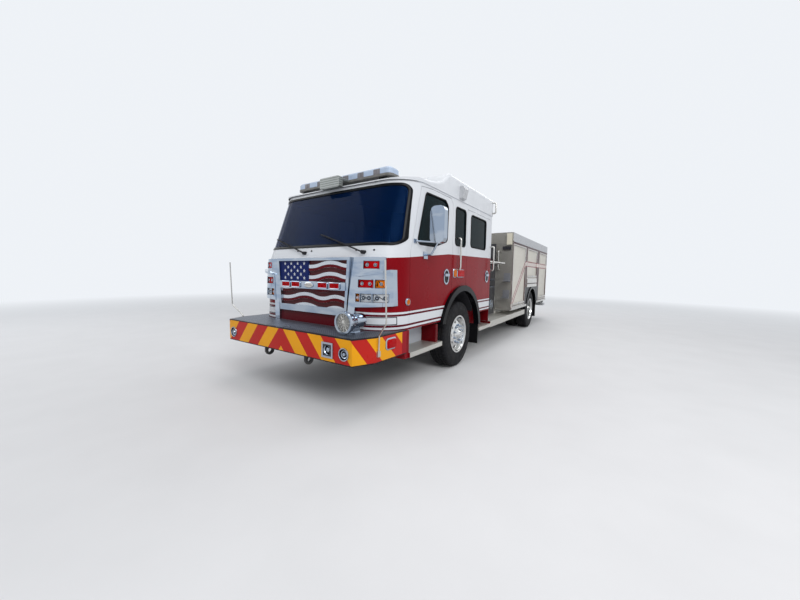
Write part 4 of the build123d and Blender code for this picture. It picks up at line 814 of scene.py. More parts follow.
def side_plane(way, x):
    """Places stations and heights on an upright plane that faces outwards."""
    return lambda point, lift: sideways(way, x + lift, at(point[0]), point[1])


def surface_of(*names):
    """A search tree over the faces of CAD nodes."""
    points, faces = [], []
    for name in names:
        mesh = NODES[name].data
        start = len(points)
        points += [vert.co.copy() for vert in mesh.vertices]
        faces += [[start + index for index in face.vertices] for face in mesh.polygons]
    return BVHTree.FromPolygons(points, faces)


def front_surface(tree, way=1):
    """Places widths and heights on the surface met from the front, mirrored to a side."""
    def place(point, lift):
        hit, normal, _, _ = tree.ray_cast(sideways(way, point[0], AHEAD, point[1]), REARWARDS)
        if hit is None:
            raise RuntimeError(f"no surface is met from the front at {tuple(point)}")
        return hit + normal * lift

    return place


# Tyres and wheels

# Distances of the tyres' middles from the vehicle's middle
FRONT_TYRE_MIDDLE = 1.033
REAR_TYRE_MIDDLES = (1.082, 0.742)
# Body, Y, face of the disc, circle of the nuts, end of the hub, circle of the hub's bolts
WHEELS = [
    ("wheel_front", at(0.0), 1.165, 0.143, 1.229, 0.047),
    ("wheel_rear", REAR_AXLE, 0.932, 0.156, 1.102, 0.06),
]
HUB_BOLTS = 8


def tyre_profile(width, radius, groove):
    """Half of the tyre's section from bead to crown: place across, radius, and what it is."""
    floor = radius - groove
    parts = [
        ("wall", [
            (0.42, 0.291), (0.425, 0.305), (0.452, 0.318), (0.47, 0.34), (0.474, 0.345), (0.4925, 0.372),
            (0.498, 0.4), (0.5, 0.408), (0.5, 0.414), (0.496, 0.422), (0.484, 0.455), (0.468, 0.482),
        ]),
        ("shoulder", [(0.472, 0.486), (0.448, radius - 0.03), (0.43, radius - 0.014)]),
        ("tread", [(0.395, radius - 0.006), (0.3, radius - 0.002)]),
        ("groove", [(0.285, floor), (0.245, floor)]),
        ("rib", [(0.235, radius - 0.001), (0.115, radius)]),
        ("groove", [(0.1, floor), (0.06, floor)]),
        ("middle", [(0.05, radius)]),
    ]
    return [(share * width, reach, kind) for kind, points in parts for share, reach in points]


def tyre_mesh(bm, centre_x, y, width, settings):
    """A hollow tyre whose tread blocks are cut across the shoulders and ribs."""
    half = tyre_profile(width, settings.radius, settings.groove)
    profile = half + [(-across, radius, kind) for across, radius, kind in reversed(half)]
    steps = 4
    count = settings.blocks * steps
    rings = []
    for turn in range(count):
        angle = 2 * math.pi * turn / count
        phase = turn % steps
        loop = []
        for k, (across, radius, kind) in enumerate(profile):
            shift = phase if across > 0 else (phase + 2) % steps
            cut = 0.0
            if kind in ("shoulder", "tread") and shift == 0:
                cut = settings.groove * (0.85 if kind == "tread" else 0.5)
            if kind == "rib" and shift == 1:
                cut = settings.groove * 0.6
            reach = radius - cut
            point = (centre_x + across, y + reach * math.sin(angle), AXLE_HEIGHT + reach * math.cos(angle))
            loop.append(bm.verts.new(point))
        rings.append(loop)
    for loop, after in round_pairs(rings):
        for k in range(len(profile) - 1):
            bm.faces.new([loop[k], after[k], after[k + 1], loop[k + 1]])
        bm.faces.new([loop[-1], after[-1], after[0], loop[0]])


def make_tyres(look, settings):
    """Road tyres in place of the plain ones, and the wheels' finish."""
    for side, way in SIDES:
        front = piece(
            f"road_tyre_front_{side}",
            lambda bm: tyre_mesh(bm, way * FRONT_TYRE_MIDDLE, at(0.0), settings.front_width, settings),
            f"wheel_front_{side}", look.tyre, 35.0,
        )
        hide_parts(f"tyre_front_{side}")

        def twins(bm):
            for x in REAR_TYRE_MIDDLES:
                tyre_mesh(bm, way * x, REAR_AXLE, settings.rear_width, settings)

        rear = piece(f"road_tyres_rear_{side}", twins, f"wheel_rear_{side}", look.tyre, 35.0)
        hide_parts(f"tyres_rear_{side}")
        dress(f"wheel_front_{side}", look.alloy)
        dress(f"wheels_rear_{side}", look.alloy)


def make_wheel_nuts(look, settings):
    """Nuts, hub flange bolts and valve stems on every wheel."""
    for side, way in SIDES:
        out = (way, 0, 0)
        for body, y, face, circle, end, hub in WHEELS:
            def build(bm):
                for turn in range(settings.nuts):
                    angle = 2 * math.pi * (turn + 0.5) / settings.nuts
                    spoke = Vector((0.0, math.cos(angle), math.sin(angle)))
                    foot = sideways(way, face, y, AXLE_HEIGHT) + spoke * circle
                    spin(bm, [(0.0, 0.024), (0.005, 0.024), (0.006, 0.019)], foot, out, 16)
                    nut(bm, foot + sideways(way, 0.004), out, 0.019, 0.026)
                    spin(bm, [(0.026, 0.010), (0.04, 0.010), (0.042, 0.0)], foot, out, 10)
                for turn in range(HUB_BOLTS):
                    angle = 2 * math.pi * turn / HUB_BOLTS
                    spoke = Vector((0.0, math.cos(angle), math.sin(angle)))
                    nut(bm, sideways(way, end - 0.002, y, AXLE_HEIGHT) + spoke * hub, out, 0.008, 0.007)
                stem = sideways(way, face - 0.03, y, AXLE_HEIGHT + 0.25)
                bend = stem + sideways(way, 0.03, 0.0, 0.004)
                tube(bm, [stem, bend, stem + sideways(way, 0.055)], 0.005, 8)

            piece(f"{body}_nuts_{side}", build, f"{body}_{side}", look.chrome, 30.0)


# Cab

# A point inside the cab, from which its faces look inwards or outwards
CAB_CENTRE = Vector((0.0, at(-0.35), 1.9))
# Station and height of the middle of each door handle's dish
HANDLES = {"front": (-0.605, 1.482), "rear": (1.155, 1.49)}


def make_cab_finish(look):
    """Paint outside and lining inside the cab and its doors, and the glass."""
    paint, lining, chrome, gloss = range(4)

    def inside(middle, normal):
        inwards = (middle - CAB_CENTRE).dot(normal) < -0.05
        return lining if inwards and abs(middle.x) < 1.19 and middle.z < 2.92 else paint

    for name in ("cab_front", "cab_sides", "cab_rear_wall"):
        dress_faces(name, (look.cab, look.lining), inside)
    dress_faces("cab_roof", (look.white, look.lining), inside)
    for side, _ in SIDES:
        for door in ("front", "rear"):
            station, height = HANDLES[door]

            def outside(middle, normal):
                x = abs(middle.x)
                if 1.2205 < x < 1.2235 and abs(normal.x) > 0.9:
                    return gloss
                dish = abs(middle.y - at(station)) < 0.092 and abs(middle.z - height) < 0.12
                if x > 1.2205 or (x > 1.213 and dish):
                    return chrome
                return inside(middle, normal)

            dress_faces(f"door_{door}_{side}", (look.cab, look.lining, look.chrome, look.gloss), outside)
            dress(f"glass_{door}_{side}", look.side_glass)
    dress_faces("cab_glass", (look.glass, look.side_glass), lambda middle, normal: int(middle.y > at(-0.6)))


# Corners of the windows: stations and heights at the side, widths and heights in front
SIDE_WINDOWS = {
    "front": [(-1.44, 1.88), (-1.24, 2.535), (-0.675, 2.542), (-0.585, 2.475), (-0.6, 1.985), (-1.0, 1.88)],
    "rear": [(0.299, 1.975), (0.299, 2.5), (1.04, 2.5), (1.04, 1.975)],
    "narrow": [(-0.32, 1.955), (-0.32, 2.525), (0.075, 2.525), (0.075, 1.955)],
}
WINDSCREEN = [(-1.196, 1.842), (-1.153, 2.584), (1.153, 2.584), (1.196, 1.842)]
REAR_WINDOW_MIDDLES = (-0.56, 0.56)
WINDOW_CORNER = 0.06


def make_seals(look, settings):
    """Rubber seals round the side and rear windows, and the windscreen's black border."""
    w, h = settings.width, settings.proud
    section = [
        (-0.009, -0.014), (-0.009, h * 0.4), (-0.006, h),
        (w - 0.014, h), (w - 0.009, h * 0.5), (w - 0.009, -0.001),
    ]
    for side, way in SIDES:
        wall = side_plane(way, CAB_HALF)
        for window, points in SIDE_WINDOWS.items():
            body = "chassis" if window == "narrow" else f"door_{window}_{side}"
            piece(
                f"seal_{window}_{side}", lambda bm: ring(bm, rounded(points, WINDOW_CORNER), section, wall),
                body, look.rubber,
            )

    # The border bends with the cab, so its straight runs are cut into short steps
    step = 0.05
    border = settings.windscreen
    broad = [
        (-border, 0.006), (-border + 0.002, 0.009), (0.008, 0.01),
        (0.014, 0.006), (0.014, 0.0), (-border, 0.0),
    ]
    dense = []
    for (p0, n0), (p1, n1) in round_pairs(rounded(WINDSCREEN, 0.09, 8)):
        count = max(1, round((p1 - p0).length / step))
        dense += [(p0.lerp(p1, k / count), n0.lerp(n1, k / count).normalized()) for k in range(count)]
    skin = front_surface(surface_of("cab_front", "cab_glass"))
    piece(
        "windscreen_border", lambda bm: ring(bm, dense, broad, skin),
        "chassis", look.gloss, 60.0,
    )

    def rear_seals(bm):
        for x in REAR_WINDOW_MIDDLES:
            outline = box_outline(x - 0.23, x + 0.23, 2.08, 2.46, WINDOW_CORNER, 6)
            ring(bm, outline, section, rear_plane(1.365))

    piece("seal_rear_windows", rear_seals, "chassis", look.rubber)


def make_mirrors(look):
    """Mirror glass in a black surround on the rear of each mirror's case."""
    for side, way in SIDES:
        dress(f"mirror_{side}", look.chrome)

        def build(bm):
            def place(point, lift):
                return sideways(way, point[0], at(-1.195) + lift, point[1])

            outline = box_outline(1.308, 1.508, 1.8945, 2.3495, 0.07, 8)
            surround = [(-0.004, -0.001), (-0.006, 0.006), (-0.012, 0.007), (-0.016, 0.002), (-0.016, -0.001)]
            ring(bm, outline, surround, place, 1)
            dome(bm, outline, [(-0.015, -0.001), (-0.016, 0.003)], place)

        piece(f"mirror_glass_{side}", build, f"door_front_{side}", (look.mirror, look.plastic))


# Bumper, grille and lamps


def make_front_finish(look):
    """Finishes of the bumper, what stands on it, the grille and the wipers."""
    dress_faces("bumper", (look.bumper, look.black_steel), inner_bumper)
    # The bumper deck and the hose well's lid are treadplate in painted shade
    dress("bumper_deck", look.shaded_deck_tread)
    dress("hose_well_lid", look.shaded_deck_tread)
    dress("siren", look.chrome)
    dress("bumper_horns", look.horns)
    dress("corner_guides", look.stainless)
    dress_faces(
        "grille", (look.chrome, look.backing),
        lambda middle, normal: int(middle.y > at(-2.036) and abs(middle.x) < 0.66),
    )
    dress_faces(
        "grille_slats", (look.slat_white, look.blue),
        lambda middle, normal: int(middle.x < -0.0525 and middle.z > 1.385),
    )
    dress("lamp_clusters", look.chrome)
    dress("wipers", look.plastic)


def inner_bumper(middle, normal):
    """1 for the bumper's faces that look inwards, 0 for the others."""
    inwards = middle.x * normal.x + (middle.y - at(-1.75)) * normal.y < 0
    return int(inwards and abs(normal.z) < 0.5)


# Lamps on the left of the cab's front: inner and outer edge, bottom and top, and the colour of the lens
LAMP_POCKETS = [
    (0.866, 1.05, 1.556, 1.644, "red"), (0.806, 1.0, 1.338, 1.43, "red"),
    (1.016, 1.12, 1.338, 1.43, "amber"), (0.775, 0.832, 1.172, 1.268, "amber"),
    (0.844, 0.984, 1.172, 1.268, "clear"), (0.996, 1.146, 1.172, 1.268, "clear"),
]
# Middles of the lamps in the grille's bar
BAR_LAMPS = (-0.465, -0.262, 0.25, 0.458)
BAR_HEIGHT = 1.344

# Waves of the grille's slats: where each wave crosses its height, and each slat's middle height
LOWER_WAVE = (-0.76, -0.3, 0.07, 0.325, 0.56, 0.76)
UPPER_WAVE = (-0.19, 0.17, 0.52, 0.76)
SLATS = [
    (1.04, LOWER_WAVE), (1.177, LOWER_WAVE), (1.314, LOWER_WAVE),
    (1.448, UPPER_WAVE), (1.586, UPPER_WAVE),
]
# Bottom, top and left end of the openings in which each wave's slats show
SLAT_OPENINGS = {LOWER_WAVE: (1.075, 1.291, -0.6), UPPER_WAVE: (1.39, 1.652, -0.045)}
SLAT_END = 0.625
SLAT_FACE = -2.053
# Height and number of stars of each row
STAR_ROWS = [(1.428, 4), (1.476, 3), (1.524, 4), (1.572, 3), (1.62, 4)]


def wave_height(x, crossings):
    """Height of a wave of arcs over its crossings, each with a rise of 7% of its chord."""
    for turn, (x0, x1) in enumerate(zip(crossings, crossings[1:])):
        if x0 <= x <= x1:
            half = (x1 - x0) / 2
            rise = 0.07 * (x1 - x0)
            radius = (half * half + rise * rise) / (2 * rise)
            lift = math.sqrt(radius * radius - (x - x0 - half) ** 2) - (radius - rise)
            return lift if turn % 2 else -lift
    return 0.0


def make_grille_details(look):
    """Red lower halves of the wavy slats, and the stars filled with white."""
    slats = surface_of("grille_slats")

    def bands(bm):
        steps = 90
        front = at(SLAT_FACE - 0.0012)
        for height, crossings in SLATS:
            low, high, left = SLAT_OPENINGS[crossings]
            left = max(crossings[0], left)
            for k in range(steps):
                ends = []
                for x in (left + (SLAT_END - left) * j / steps for j in (k, k + 1)):
                    middle = height + wave_height(x, crossings)
                    bottom, top = (min(max(z, low), high) for z in (middle - 0.0395, middle - 0.004))
                    ends.append((x, bottom, top))
                (xa, a0, a1), (xb, b0, b1) = ends
                if a1 - a0 < 0.002 or b1 - b0 < 0.002:
                    continue
                # A band is left out where the slat isn't what shows from the front
                start = Vector(((xa + xb) / 2, AHEAD, (a0 + a1 + b0 + b1) / 4))
                hit = slats.ray_cast(start, REARWARDS)[0]
                if hit is None or abs(hit.y - at(SLAT_FACE)) > 0.003:
                    continue
                corners = ((xa, a0), (xb, b0), (xb, b1), (xa, a1))
                bm.faces.new([bm.verts.new((x, front, z)) for x, z in corners])
        bmesh.ops.remove_doubles(bm, verts=bm.verts, dist=0.00005)

    piece("slat_bands", bands, "chassis", look.slat_red)

    def stars(bm):
        place = front_plane(-2.054)
        middle, spacing, reach, waist = -0.3365, 0.132, 0.0255, 0.382
        for height, count in STAR_ROWS:
            for column in range(count):
                x = middle + (column - (count - 1) / 2) * spacing
                corners = []
                for corner in range(10):
                    radius = reach * (waist if corner % 2 else 1.0)
                    turn = math.pi * corner / 5
                    point = Vector((math.sin(turn), math.cos(turn)))
                    corners.append((Vector((x, height)) + point * radius, point))
                dome(bm, corners, [(0.0, -0.001), (0.0, 0.0015), (-0.002, 0.0025)], place)

    piece("grille_stars", stars, "chassis", look.white)


def make_lamp_details(look):
    """Front lamps' bezels, covers and reflectors, the grille bar's lamps and plate, and the side lamps."""
    clusters = surface_of("lamp_clusters")
    lenses = surface_of("lamp_lenses")
    rim = [(0.0015, -0.003), (0.0018, 0.004), (0.0034, 0.0055), (0.0052, 0.003), (0.0058, -0.003)]
    cover = [(-0.007, -0.001), (-0.009, 0.003), (-0.014, 0.005), (-0.022, 0.0058)]
    colours = ("red", "amber", "clear")
    lens_finishes = (look.red_lens, look.amber_lens, look.clear_lens)
    for side, way in SIDES:
        def bezels(bm):
            for x0, x1, z0, z1, _ in LAMP_POCKETS:
                ring(bm, box_outline(x0, x1, z0, z1, 0.002), rim, front_surface(clusters, way))

        piece(f"lamp_bezels_{side}", bezels, "chassis", look.chrome)

        def covers(bm):
            for x0, x1, z0, z1, colour in LAMP_POCKETS:
                outline = box_outline(x0, x1, z0, z1, 0.008)
                dome(bm, outline, cover, front_surface(lenses, way), colours.index(colour))

        piece(f"lamp_covers_{side}", covers, "chassis", lens_finishes)

        def reflectors(bm):
            place = front_surface(lenses, way)
            for x0, x1, z0, z1, colour in LAMP_POCKETS:
                count = 2 if colour == "clear" or x1 - x0 > 0.15 else 1
                radius = 0.029 if colour == "clear" else 0.02
                edge = [(0.0, radius), (0.003, radius), (0.003, radius - 0.004), (0.0005, radius - 0.006)]
                for k in range(count):
                    point = (x0 + (x1 - x0) * (k + 0.5) / count, (z0 + z1) / 2)
                    foot = place(point, 0.0045)
                    run = place(point, 1.0) - place(point, 0.0)
                    spin(bm, edge, foot, run, 24)
                    spin(bm, [(0.0012, radius - 0.006), (0.0014, 0.0)], foot, run, 24, 1)
                    spin(bm, [(0.001, 0.009), (0.0045, 0.008), (0.006, 0.0)], foot, run, 16, 0)

        piece(f"lamp_reflectors_{side}", reflectors, "chassis", (look.chrome, look.smoked_lens))

    def bar_frames(bm):
        face = -2.1
        edge = [(-0.002, -0.014), (-0.002, 0.002), (0.002, 0.004), (0.009, 0.002), (0.011, -0.0125)]
        eye = [(-0.001, 0.018), (0.002, 0.017), (0.003, 0.014)]
        for x in BAR_LAMPS:
            outline = box_outline(x - 0.08, x + 0.08, BAR_HEIGHT - 0.032, BAR_HEIGHT + 0.032, 0.008)
            ring(bm, outline, edge, front_plane(face))
            for k in (-1, 0, 1):
                spin(bm, eye, (x + k * 0.046, at(face), BAR_HEIGHT), FORWARDS, 20, 1)

    piece("bar_lamp_frames", bar_frames, "chassis", (look.chrome, look.red_lens))

    def bare_plate(bm):
        place = front_plane(-2.087)
        for a, b, levels, material in [
            (0.088, 0.04, [(0.0, -0.001), (0.0, 0.006), (-0.004, 0.009)], 0),
            (0.078, 0.031, [(0.0, 0.0085), (-0.002, 0.0105), (-0.02, 0.012)], 1),
        ]:
            dome(bm, oval(-0.008, 1.342, a, b), levels, place, material)

    piece("bar_plate", bare_plate, "chassis", (look.chrome, look.satin))

    for side, way in SIDES:
        def markers(bm):
            place = side_plane(way, CAB_HALF)
            square = [(-0.001, 0.001), (0.0, 0.012), (0.006, 0.013), (0.012, 0.006), (0.013, 0.0005)]
            for front, rear, low, high in [(-0.357, -0.267, 1.47, 1.58), (-0.2095, 0.0255, 1.472, 1.58)]:
                ring(bm, box_outline(front, rear, low, high, 0.01), square, place)
            round_edge = [(0.0, 0.001), (0.001, 0.016), (0.006, 0.018), (0.014, 0.004), (0.015, 0.0005)]
            ring(bm, oval(-1.638, 1.168, 0.032, 0.032), round_edge, place)

        piece(f"marker_bezels_{side}", markers, "chassis", look.chrome)

        def flank(bm):
            place = side_plane(way, 1.249)
            outline = box_outline(-2.1, -1.925, 0.678, 0.79, 0.03)
            dome(bm, outline, [(0.012, -0.004), (0.011, 0.006), (0.0, 0.012), (-0.004, 0.012)], place, 1)
            dome(bm, outline, [(-0.004, 0.011), (-0.007, 0.02), (-0.014, 0.026), (-0.026, 0.029)], place)

        piece(f"bumper_side_lamp_{side}", flank, "chassis", (look.red_lens, look.chrome))


def make_bumper_details(look):
    """Siren face, horn mouths, speaker cone and washer jets."""
    def siren(bm):
        centre = Vector((0.905, at(-2.393), 0.975))
        spin(bm, [(-0.001, 0.0995), (0.002, 0.0995), (0.0025, 0.0)], centre, FORWARDS, 48, 1)
        hoop = [(0.002, 0.004), (0.009, 0.003), (0.009, -0.003), (0.002, -0.004)]
        for radius in (0.094, 0.078, 0.062, 0.046, 0.03):
            spin(bm, [(lift, radius + away) for lift, away in hoop], centre, FORWARDS, 40)
        spin(bm, [(0.002, 0.02), (0.012, 0.019), (0.016, 0.012), (0.018, 0.0)], centre, FORWARDS, 24)
        spokes = 12
        middle = centre + Vector((0, -0.007, 0))
        for turn in range(spokes):
            angle = 2 * math.pi * turn / spokes
            spoke = Vector((math.cos(angle), 0.0, math.sin(angle)))
            tube(bm, [middle + spoke * 0.018, middle + spoke * 0.096], 0.003, 8)

    piece("siren_face", siren, "chassis", (look.stainless, look.gloss), 30.0)

    def mouths(bm):
        for x in (-1.03, 1.03):
            centre = Vector((x, at(-2.518), 0.676))
            spin(bm, [(-0.001, 0.0575), (0.001, 0.0575), (0.0015, 0.0)], centre, FORWARDS, 32, 1)
            spin(bm, [(0.002, 0.044), (0.006, 0.04), (0.002, 0.034)], centre, FORWARDS, 32)
            spin(bm, [(0.001, 0.02), (0.01, 0.016), (0.013, 0.0)], centre, FORWARDS, 24)
            spin(bm, [(0.006, 0.07), (0.0155, 0.068), (0.0155, 0.06), (0.004, 0.058)], centre, FORWARDS, 32)

    piece("horn_mouths", mouths, "chassis", (look.chrome, look.gloss), 30.0)

    def speaker(bm):
        centre = Vector((0.795, at(-2.534), 0.69))
        spin(bm, [(-0.0005, 0.0518), (-0.03, 0.046), (-0.0315, 0.0)], centre, FORWARDS, 40, 1)
        spin(bm, [(-0.004, 0.0515), (-0.001, 0.049), (-0.004, 0.046), (-0.012, 0.042)], centre, FORWARDS, 40)
        spin(bm, [(-0.031, 0.03), (-0.014, 0.024), (-0.008, 0.0)], centre, FORWARDS, 32)

    piece("speaker_cone", speaker, "chassis", (look.chrome, look.gloss), 30.0)
    cowl = front_surface(surface_of("cab_front"))

    def jets(bm):
        nozzle = [(-0.002, 0.012), (0.006, 0.011), (0.01, 0.006), (0.011, 0.0)]
        for place in [(-0.36, 1.79), (-0.08, 1.785), (0.7, 1.775), (0.95, 1.772)]:
            spin(bm, nozzle, cowl(place, 0.0), (0, -0.9, 0.3), 14)

    piece("washer_jets", jets, "chassis", look.plastic)


def make_lamp_finish(look):
    """Each lens gets its colour by its place, and the light bar's parts theirs."""
    red, amber, clear, smoked, cream = range(5)

    def lens_colour(middle, _):
        x, station, z = abs(middle.x), middle.y - FRONT_AXLE, middle.z
        if station < -1.6 and 0.7 < x < 1.2:
            if z > 1.3:
                return amber if x > 1.008 and z < 1.5 else red
            return amber if x < 0.838 else clear
        if x > 1.21 and station < -0.25:
            return amber
        if x > 1.23 and z > 2.6:
            return clear
        if x > 1.21 and station < 1.0:
            return red
        if 2.7 < station < 2.86:
            return cream if z > 2.22 else smoked
        if station > 7.0 and 1.0 < z < 1.18:
            return amber
        if station > 7.0 and 1.18 < z < 1.4:
            return clear
        return red

    lenses = (look.red_lens, look.amber_lens, look.clear_lens, look.smoked_lens, look.cream)
    dress_faces("lamp_lenses", lenses, lens_colour)

    def bar_part(middle, _):
        lens_part, tray, feet, front_box = range(4)
        if middle.y < at(-1.58):
            return front_box
        if middle.z < 2.7355:
            return feet
        return tray if middle.z < 2.763 else lens_part

    dress_faces("lightbar", (look.bar_lens, look.bar_tray, look.rubber, look.bar_box), bar_part)


# Body


def make_body_finish(look, paint):
    """Painted body with bright trim and rear chevrons, darker treadplate as painted shade on its front wall,
    and the finishes of all that stands on it.
    """
    def body_part(middle, normal):
        painted, tread, stainless, satin, chevron, shaded_wall = range(6)
        x, station, z = abs(middle.x), middle.y - FRONT_AXLE, middle.z
        # The body's front wall faces forwards: its treadplate is darkened and warmed as painted shade
        if station < 2.86 and normal.y < -0.5:
            return shaded_wall
        if station > 7.31 and normal.y > 0.5:
            return chevron if x > 0.69 else tread
        if z > 2.29:
            return tread
        if (x > 1.2735 and 1.1 < z < 1.45) or (x > 1.2555 and z < 0.76):
            return stainless
        if x > 1.2555:
            return satin
        if x > 1.25:
            return painted
        return tread if z > 1.7 else satin

    red, chevrons_behind = body_paint(paint), rear_paint(paint)
    dress_faces(
        "body_shell",
        (red, look.tread, look.stainless, look.satin, chevrons_behind, look.shaded_warm_tread),
        body_part,
    )

    def step_part(middle, normal):
        bright, well, black, dark, painted = range(5)
        x, station = abs(middle.x), middle.y - FRONT_AXLE
        if station > 2.6 and middle.z > 0.7:
            return dark
        if station < -1.6 and middle.z < 0.87:
            return painted
        if abs(normal.z) > 0.7 or x > 1.21 or station > 1.45 or middle.z < 0.546:
            return bright
        return black if 0.5 < station < 0.777 else well

    dress("shutters", look.slats)
    dress("wheel_housings", look.rubber)
    dress("water_tank", look.tank)
    dress("rear_step", look.tread)
    dress_faces(
        "side_steps",
        (look.bright_tread, look.step_well, look.rubber, look.dark_tread, look.red),
        step_part,
    )
    dress("fender_flares", look.gloss)
    dress("mud_flaps", look.rubber)
    dress("grab_rails", look.stainless)
    dress("pump_module", look.panel)
    dress("pump_fittings", look.chrome)
    dress("fuel_tank", look.satin)
    dress("exhaust", look.stainless)


# Stations of the front and rear, and heights of the bottom and top, of each roller shutter on a side
SHUTTERS = [(2.925, 4.16, 0.77, 2.23), (4.385, 5.64, 1.45, 2.225), (6.02, 7.21, 0.79, 2.22)]
BOLT_SPACING = 0.2
# Inner and outer edge, bottom and top of each rear lamp on a side
REAR_LAMPS = [
    (1.075, 1.2, 0.82, 0.985), (1.075, 1.2, 1.01, 1.175),
    (1.075, 1.2, 1.2, 1.365), (0.98, 1.2, 2.35, 2.48),
]
# Station, height, face and radius of each cap on a pump panel
PANEL_CAPS = [
    (1.7, 1.12, 0.954, 0.039), (1.96, 1.12, 0.954, 0.039),
    (1.7, 1.33, 0.954, 0.039), (2.3, 0.85, 0.97, 0.089),
]


def dial_run(way, degrees):
    """Direction in which a dial's hand points, as seen from the side."""
    angle = math.radians(degrees)
    return Vector((0, -way * math.cos(angle), math.sin(angle)))


def make_body_details(look):
    """Shutter bars and bolts, end panels of the rear steps, dials, caps and rear lamp bezels."""
    shutters = surface_of("shutters")
    for side, way in SIDES:
        out = (way, 0, 0)

        def step_end(bm):
            side_box(bm, way, (0.977, at(1.372), 0.595), (1.21, at(1.386), 0.845), 0.003)

        piece(f"step_end_{side}", step_end, "chassis", look.shaded_red)

        def bars(bm):
            button = [(0.0, 0.018), (0.004, 0.018), (0.006, 0.015), (0.006, 0.0)]
            for front, rear, low, _ in SHUTTERS:
                middle = at((front + rear) / 2)
                start = sideways(way, 3.0, middle, low + 0.045)
                face = abs(shutters.ray_cast(start, sideways(way, -1.0))[0].x)
                near_corner = (face - 0.001, at(front + 0.03), low + 0.028)
                far_corner = (face + 0.014, at(rear - 0.03), low + 0.07)
                side_box(bm, way, near_corner, far_corner, 0.003)
                spin(bm, button, sideways(way, face + 0.012, middle, low + 0.049), out, 20, 1)

        piece(f"shutter_bars_{side}", bars, "chassis", (look.satin, look.chrome))

        def bolts(bm):
            head = [(-0.0005, 0.006), (0.0015, 0.0058), (0.0032, 0.0035), (0.0036, 0.0)]
            margin = 0.014
            for front, rear, low, high in SHUTTERS:
                across = round((rear - front) / BOLT_SPACING)
                up = round((high - low) / BOLT_SPACING)
                spots = [
                    (front + (rear - front) * k / across, z)
                    for k in range(across + 1) for z in (low - margin, high + margin)
                ]
                spots += [
                    (station, low + (high - low) * k / up)
                    for k in range(1, up) for station in (front - margin, rear + margin)
                ]
                for station, z in spots:
                    spin(bm, head, sideways(way, 1.263, at(station), z), out, 8)
            roof_edge, top_bolts, top_spacing = 2.312, 30, 0.152
            for k in range(top_bolts):
                spin(bm, head, sideways(way, 1.269, at(2.88 + top_spacing * k), roof_edge), out, 8)

        piece(f"trim_bolts_{side}", bolts, "chassis", look.stainless, 30.0)

        def dials(bm):
            bezel = [(-0.001, 0.0615), (0.006, 0.061), (0.008, 0.056), (0.004, 0.053)]
            for station in (1.65, 1.85, 2.05):
                foot = sideways(way, 0.8815, at(station), 1.58)
                spin(bm, bezel, foot, out, 32, 0)
                spin(bm, [(0.003, 0.0535), (0.0035, 0.0)], foot, out, 32, 1)
                spin(bm, [(0.003, 0.007), (0.008, 0.006), (0.0085, 0.0)], foot, out, 14, 2)
                scale = foot + sideways(way, 0.004)
                for turn in range(11):
                    run = dial_run(way, 225 - 27 * turn)
                    tube(bm, [scale + run * 0.04, scale + run * 0.05], 0.0012, 6, 2)
                hand = foot + sideways(way, 0.006)
                tube(bm, [hand, hand + dial_run(way, 205) * 0.038], 0.0018, 6, 2)

        piece(f"gauge_dials_{side}", dials, "chassis", (look.gloss, look.white, look.plastic), 30.0)

        def caps(bm):
            for station, z, x, radius in PANEL_CAPS:
                foot = sideways(way, x, at(station), z)
                rim = radius * 1.22
                spin(bm, [
                    (-0.03, radius), (-0.03, rim), (-0.002, rim), (0.003, rim * 0.96), (0.003, rim * 0.7),
                    (0.0, rim * 0.66), (0.0, rim * 0.3), (0.006, rim * 0.24), (0.008, 0.0),
                ], foot, out, 40)
                lugs = 3 if radius < 0.05 else 2
                root = foot + sideways(way, -0.014)
                for turn in range(lugs):
                    angle = 2 * math.pi * turn / lugs + 0.4
                    run = Vector((0, math.cos(angle), math.sin(angle))) * rim
                    tube(bm, [root + run * 0.95, root + run * 1.35], 0.009, 10)
            for station in (1.42, 2.833):
                for z in (0.66, 0.92, 1.18, 1.44, 1.7):
                    foot = sideways(way, 0.86, at(station), z)
                    spin(bm, [(-0.001, 0.008), (0.003, 0.007), (0.004, 0.0)], foot, out, 8)

        piece(f"panel_caps_{side}", caps, "chassis", look.chrome, 30.0)

        def rear_bezels(bm):
            edge = [(0.0005, -0.027), (0.0005, 0.002), (0.004, 0.003), (0.012, -0.01), (0.013, -0.0275)]
            for inner, outer, low, high in REAR_LAMPS:
                x0, x1 = sorted((way * inner, way * outer))
                ring(bm, box_outline(x0, x1, low, high, 0.006), edge, rear_plane(7.351))

        piece(f"rear_bezels_{side}", rear_bezels, "chassis", look.chrome)


def make_chassis_finish(look):
    """Black frame, axles, springs and knuckles, and the engine's iron."""
    for name in ("frame_rails", "crossmembers", "front_axle", "rear_axle", "leaf_springs"):
        dress(name, look.black_steel)
    for side, _ in SIDES:
        dress(f"knuckle_{side}", look.black_steel)
    dress("engine_block", look.iron)


# Inside the cab

# Place of each seat's middle across, station of its back's rear face, height of the cushion's top
SEATS = [(0.8, -0.44, 1.4), (-0.8, -0.44, 1.4), (0.82, 1.3, 1.33), (0.0, 1.3, 1.33), (-0.82, 1.3, 1.33)]
# Cushion, back and head rest: half the width, front and rear measured forwards from the back's rear face,
# bottom and top from the cushion's top, depth of the sewn channels, axis through the broad face, cells
PADS = [
    (0.238, 0.56, 0.1, -0.13, -0.004, 0.06, 2, 10),
    (0.225, 0.125, 0.012, -0.05, 0.42, 0.08, 1, 10),
    (0.15, 0.11, 0.016, 0.43, 0.635, 0.0, 1, 8),
]


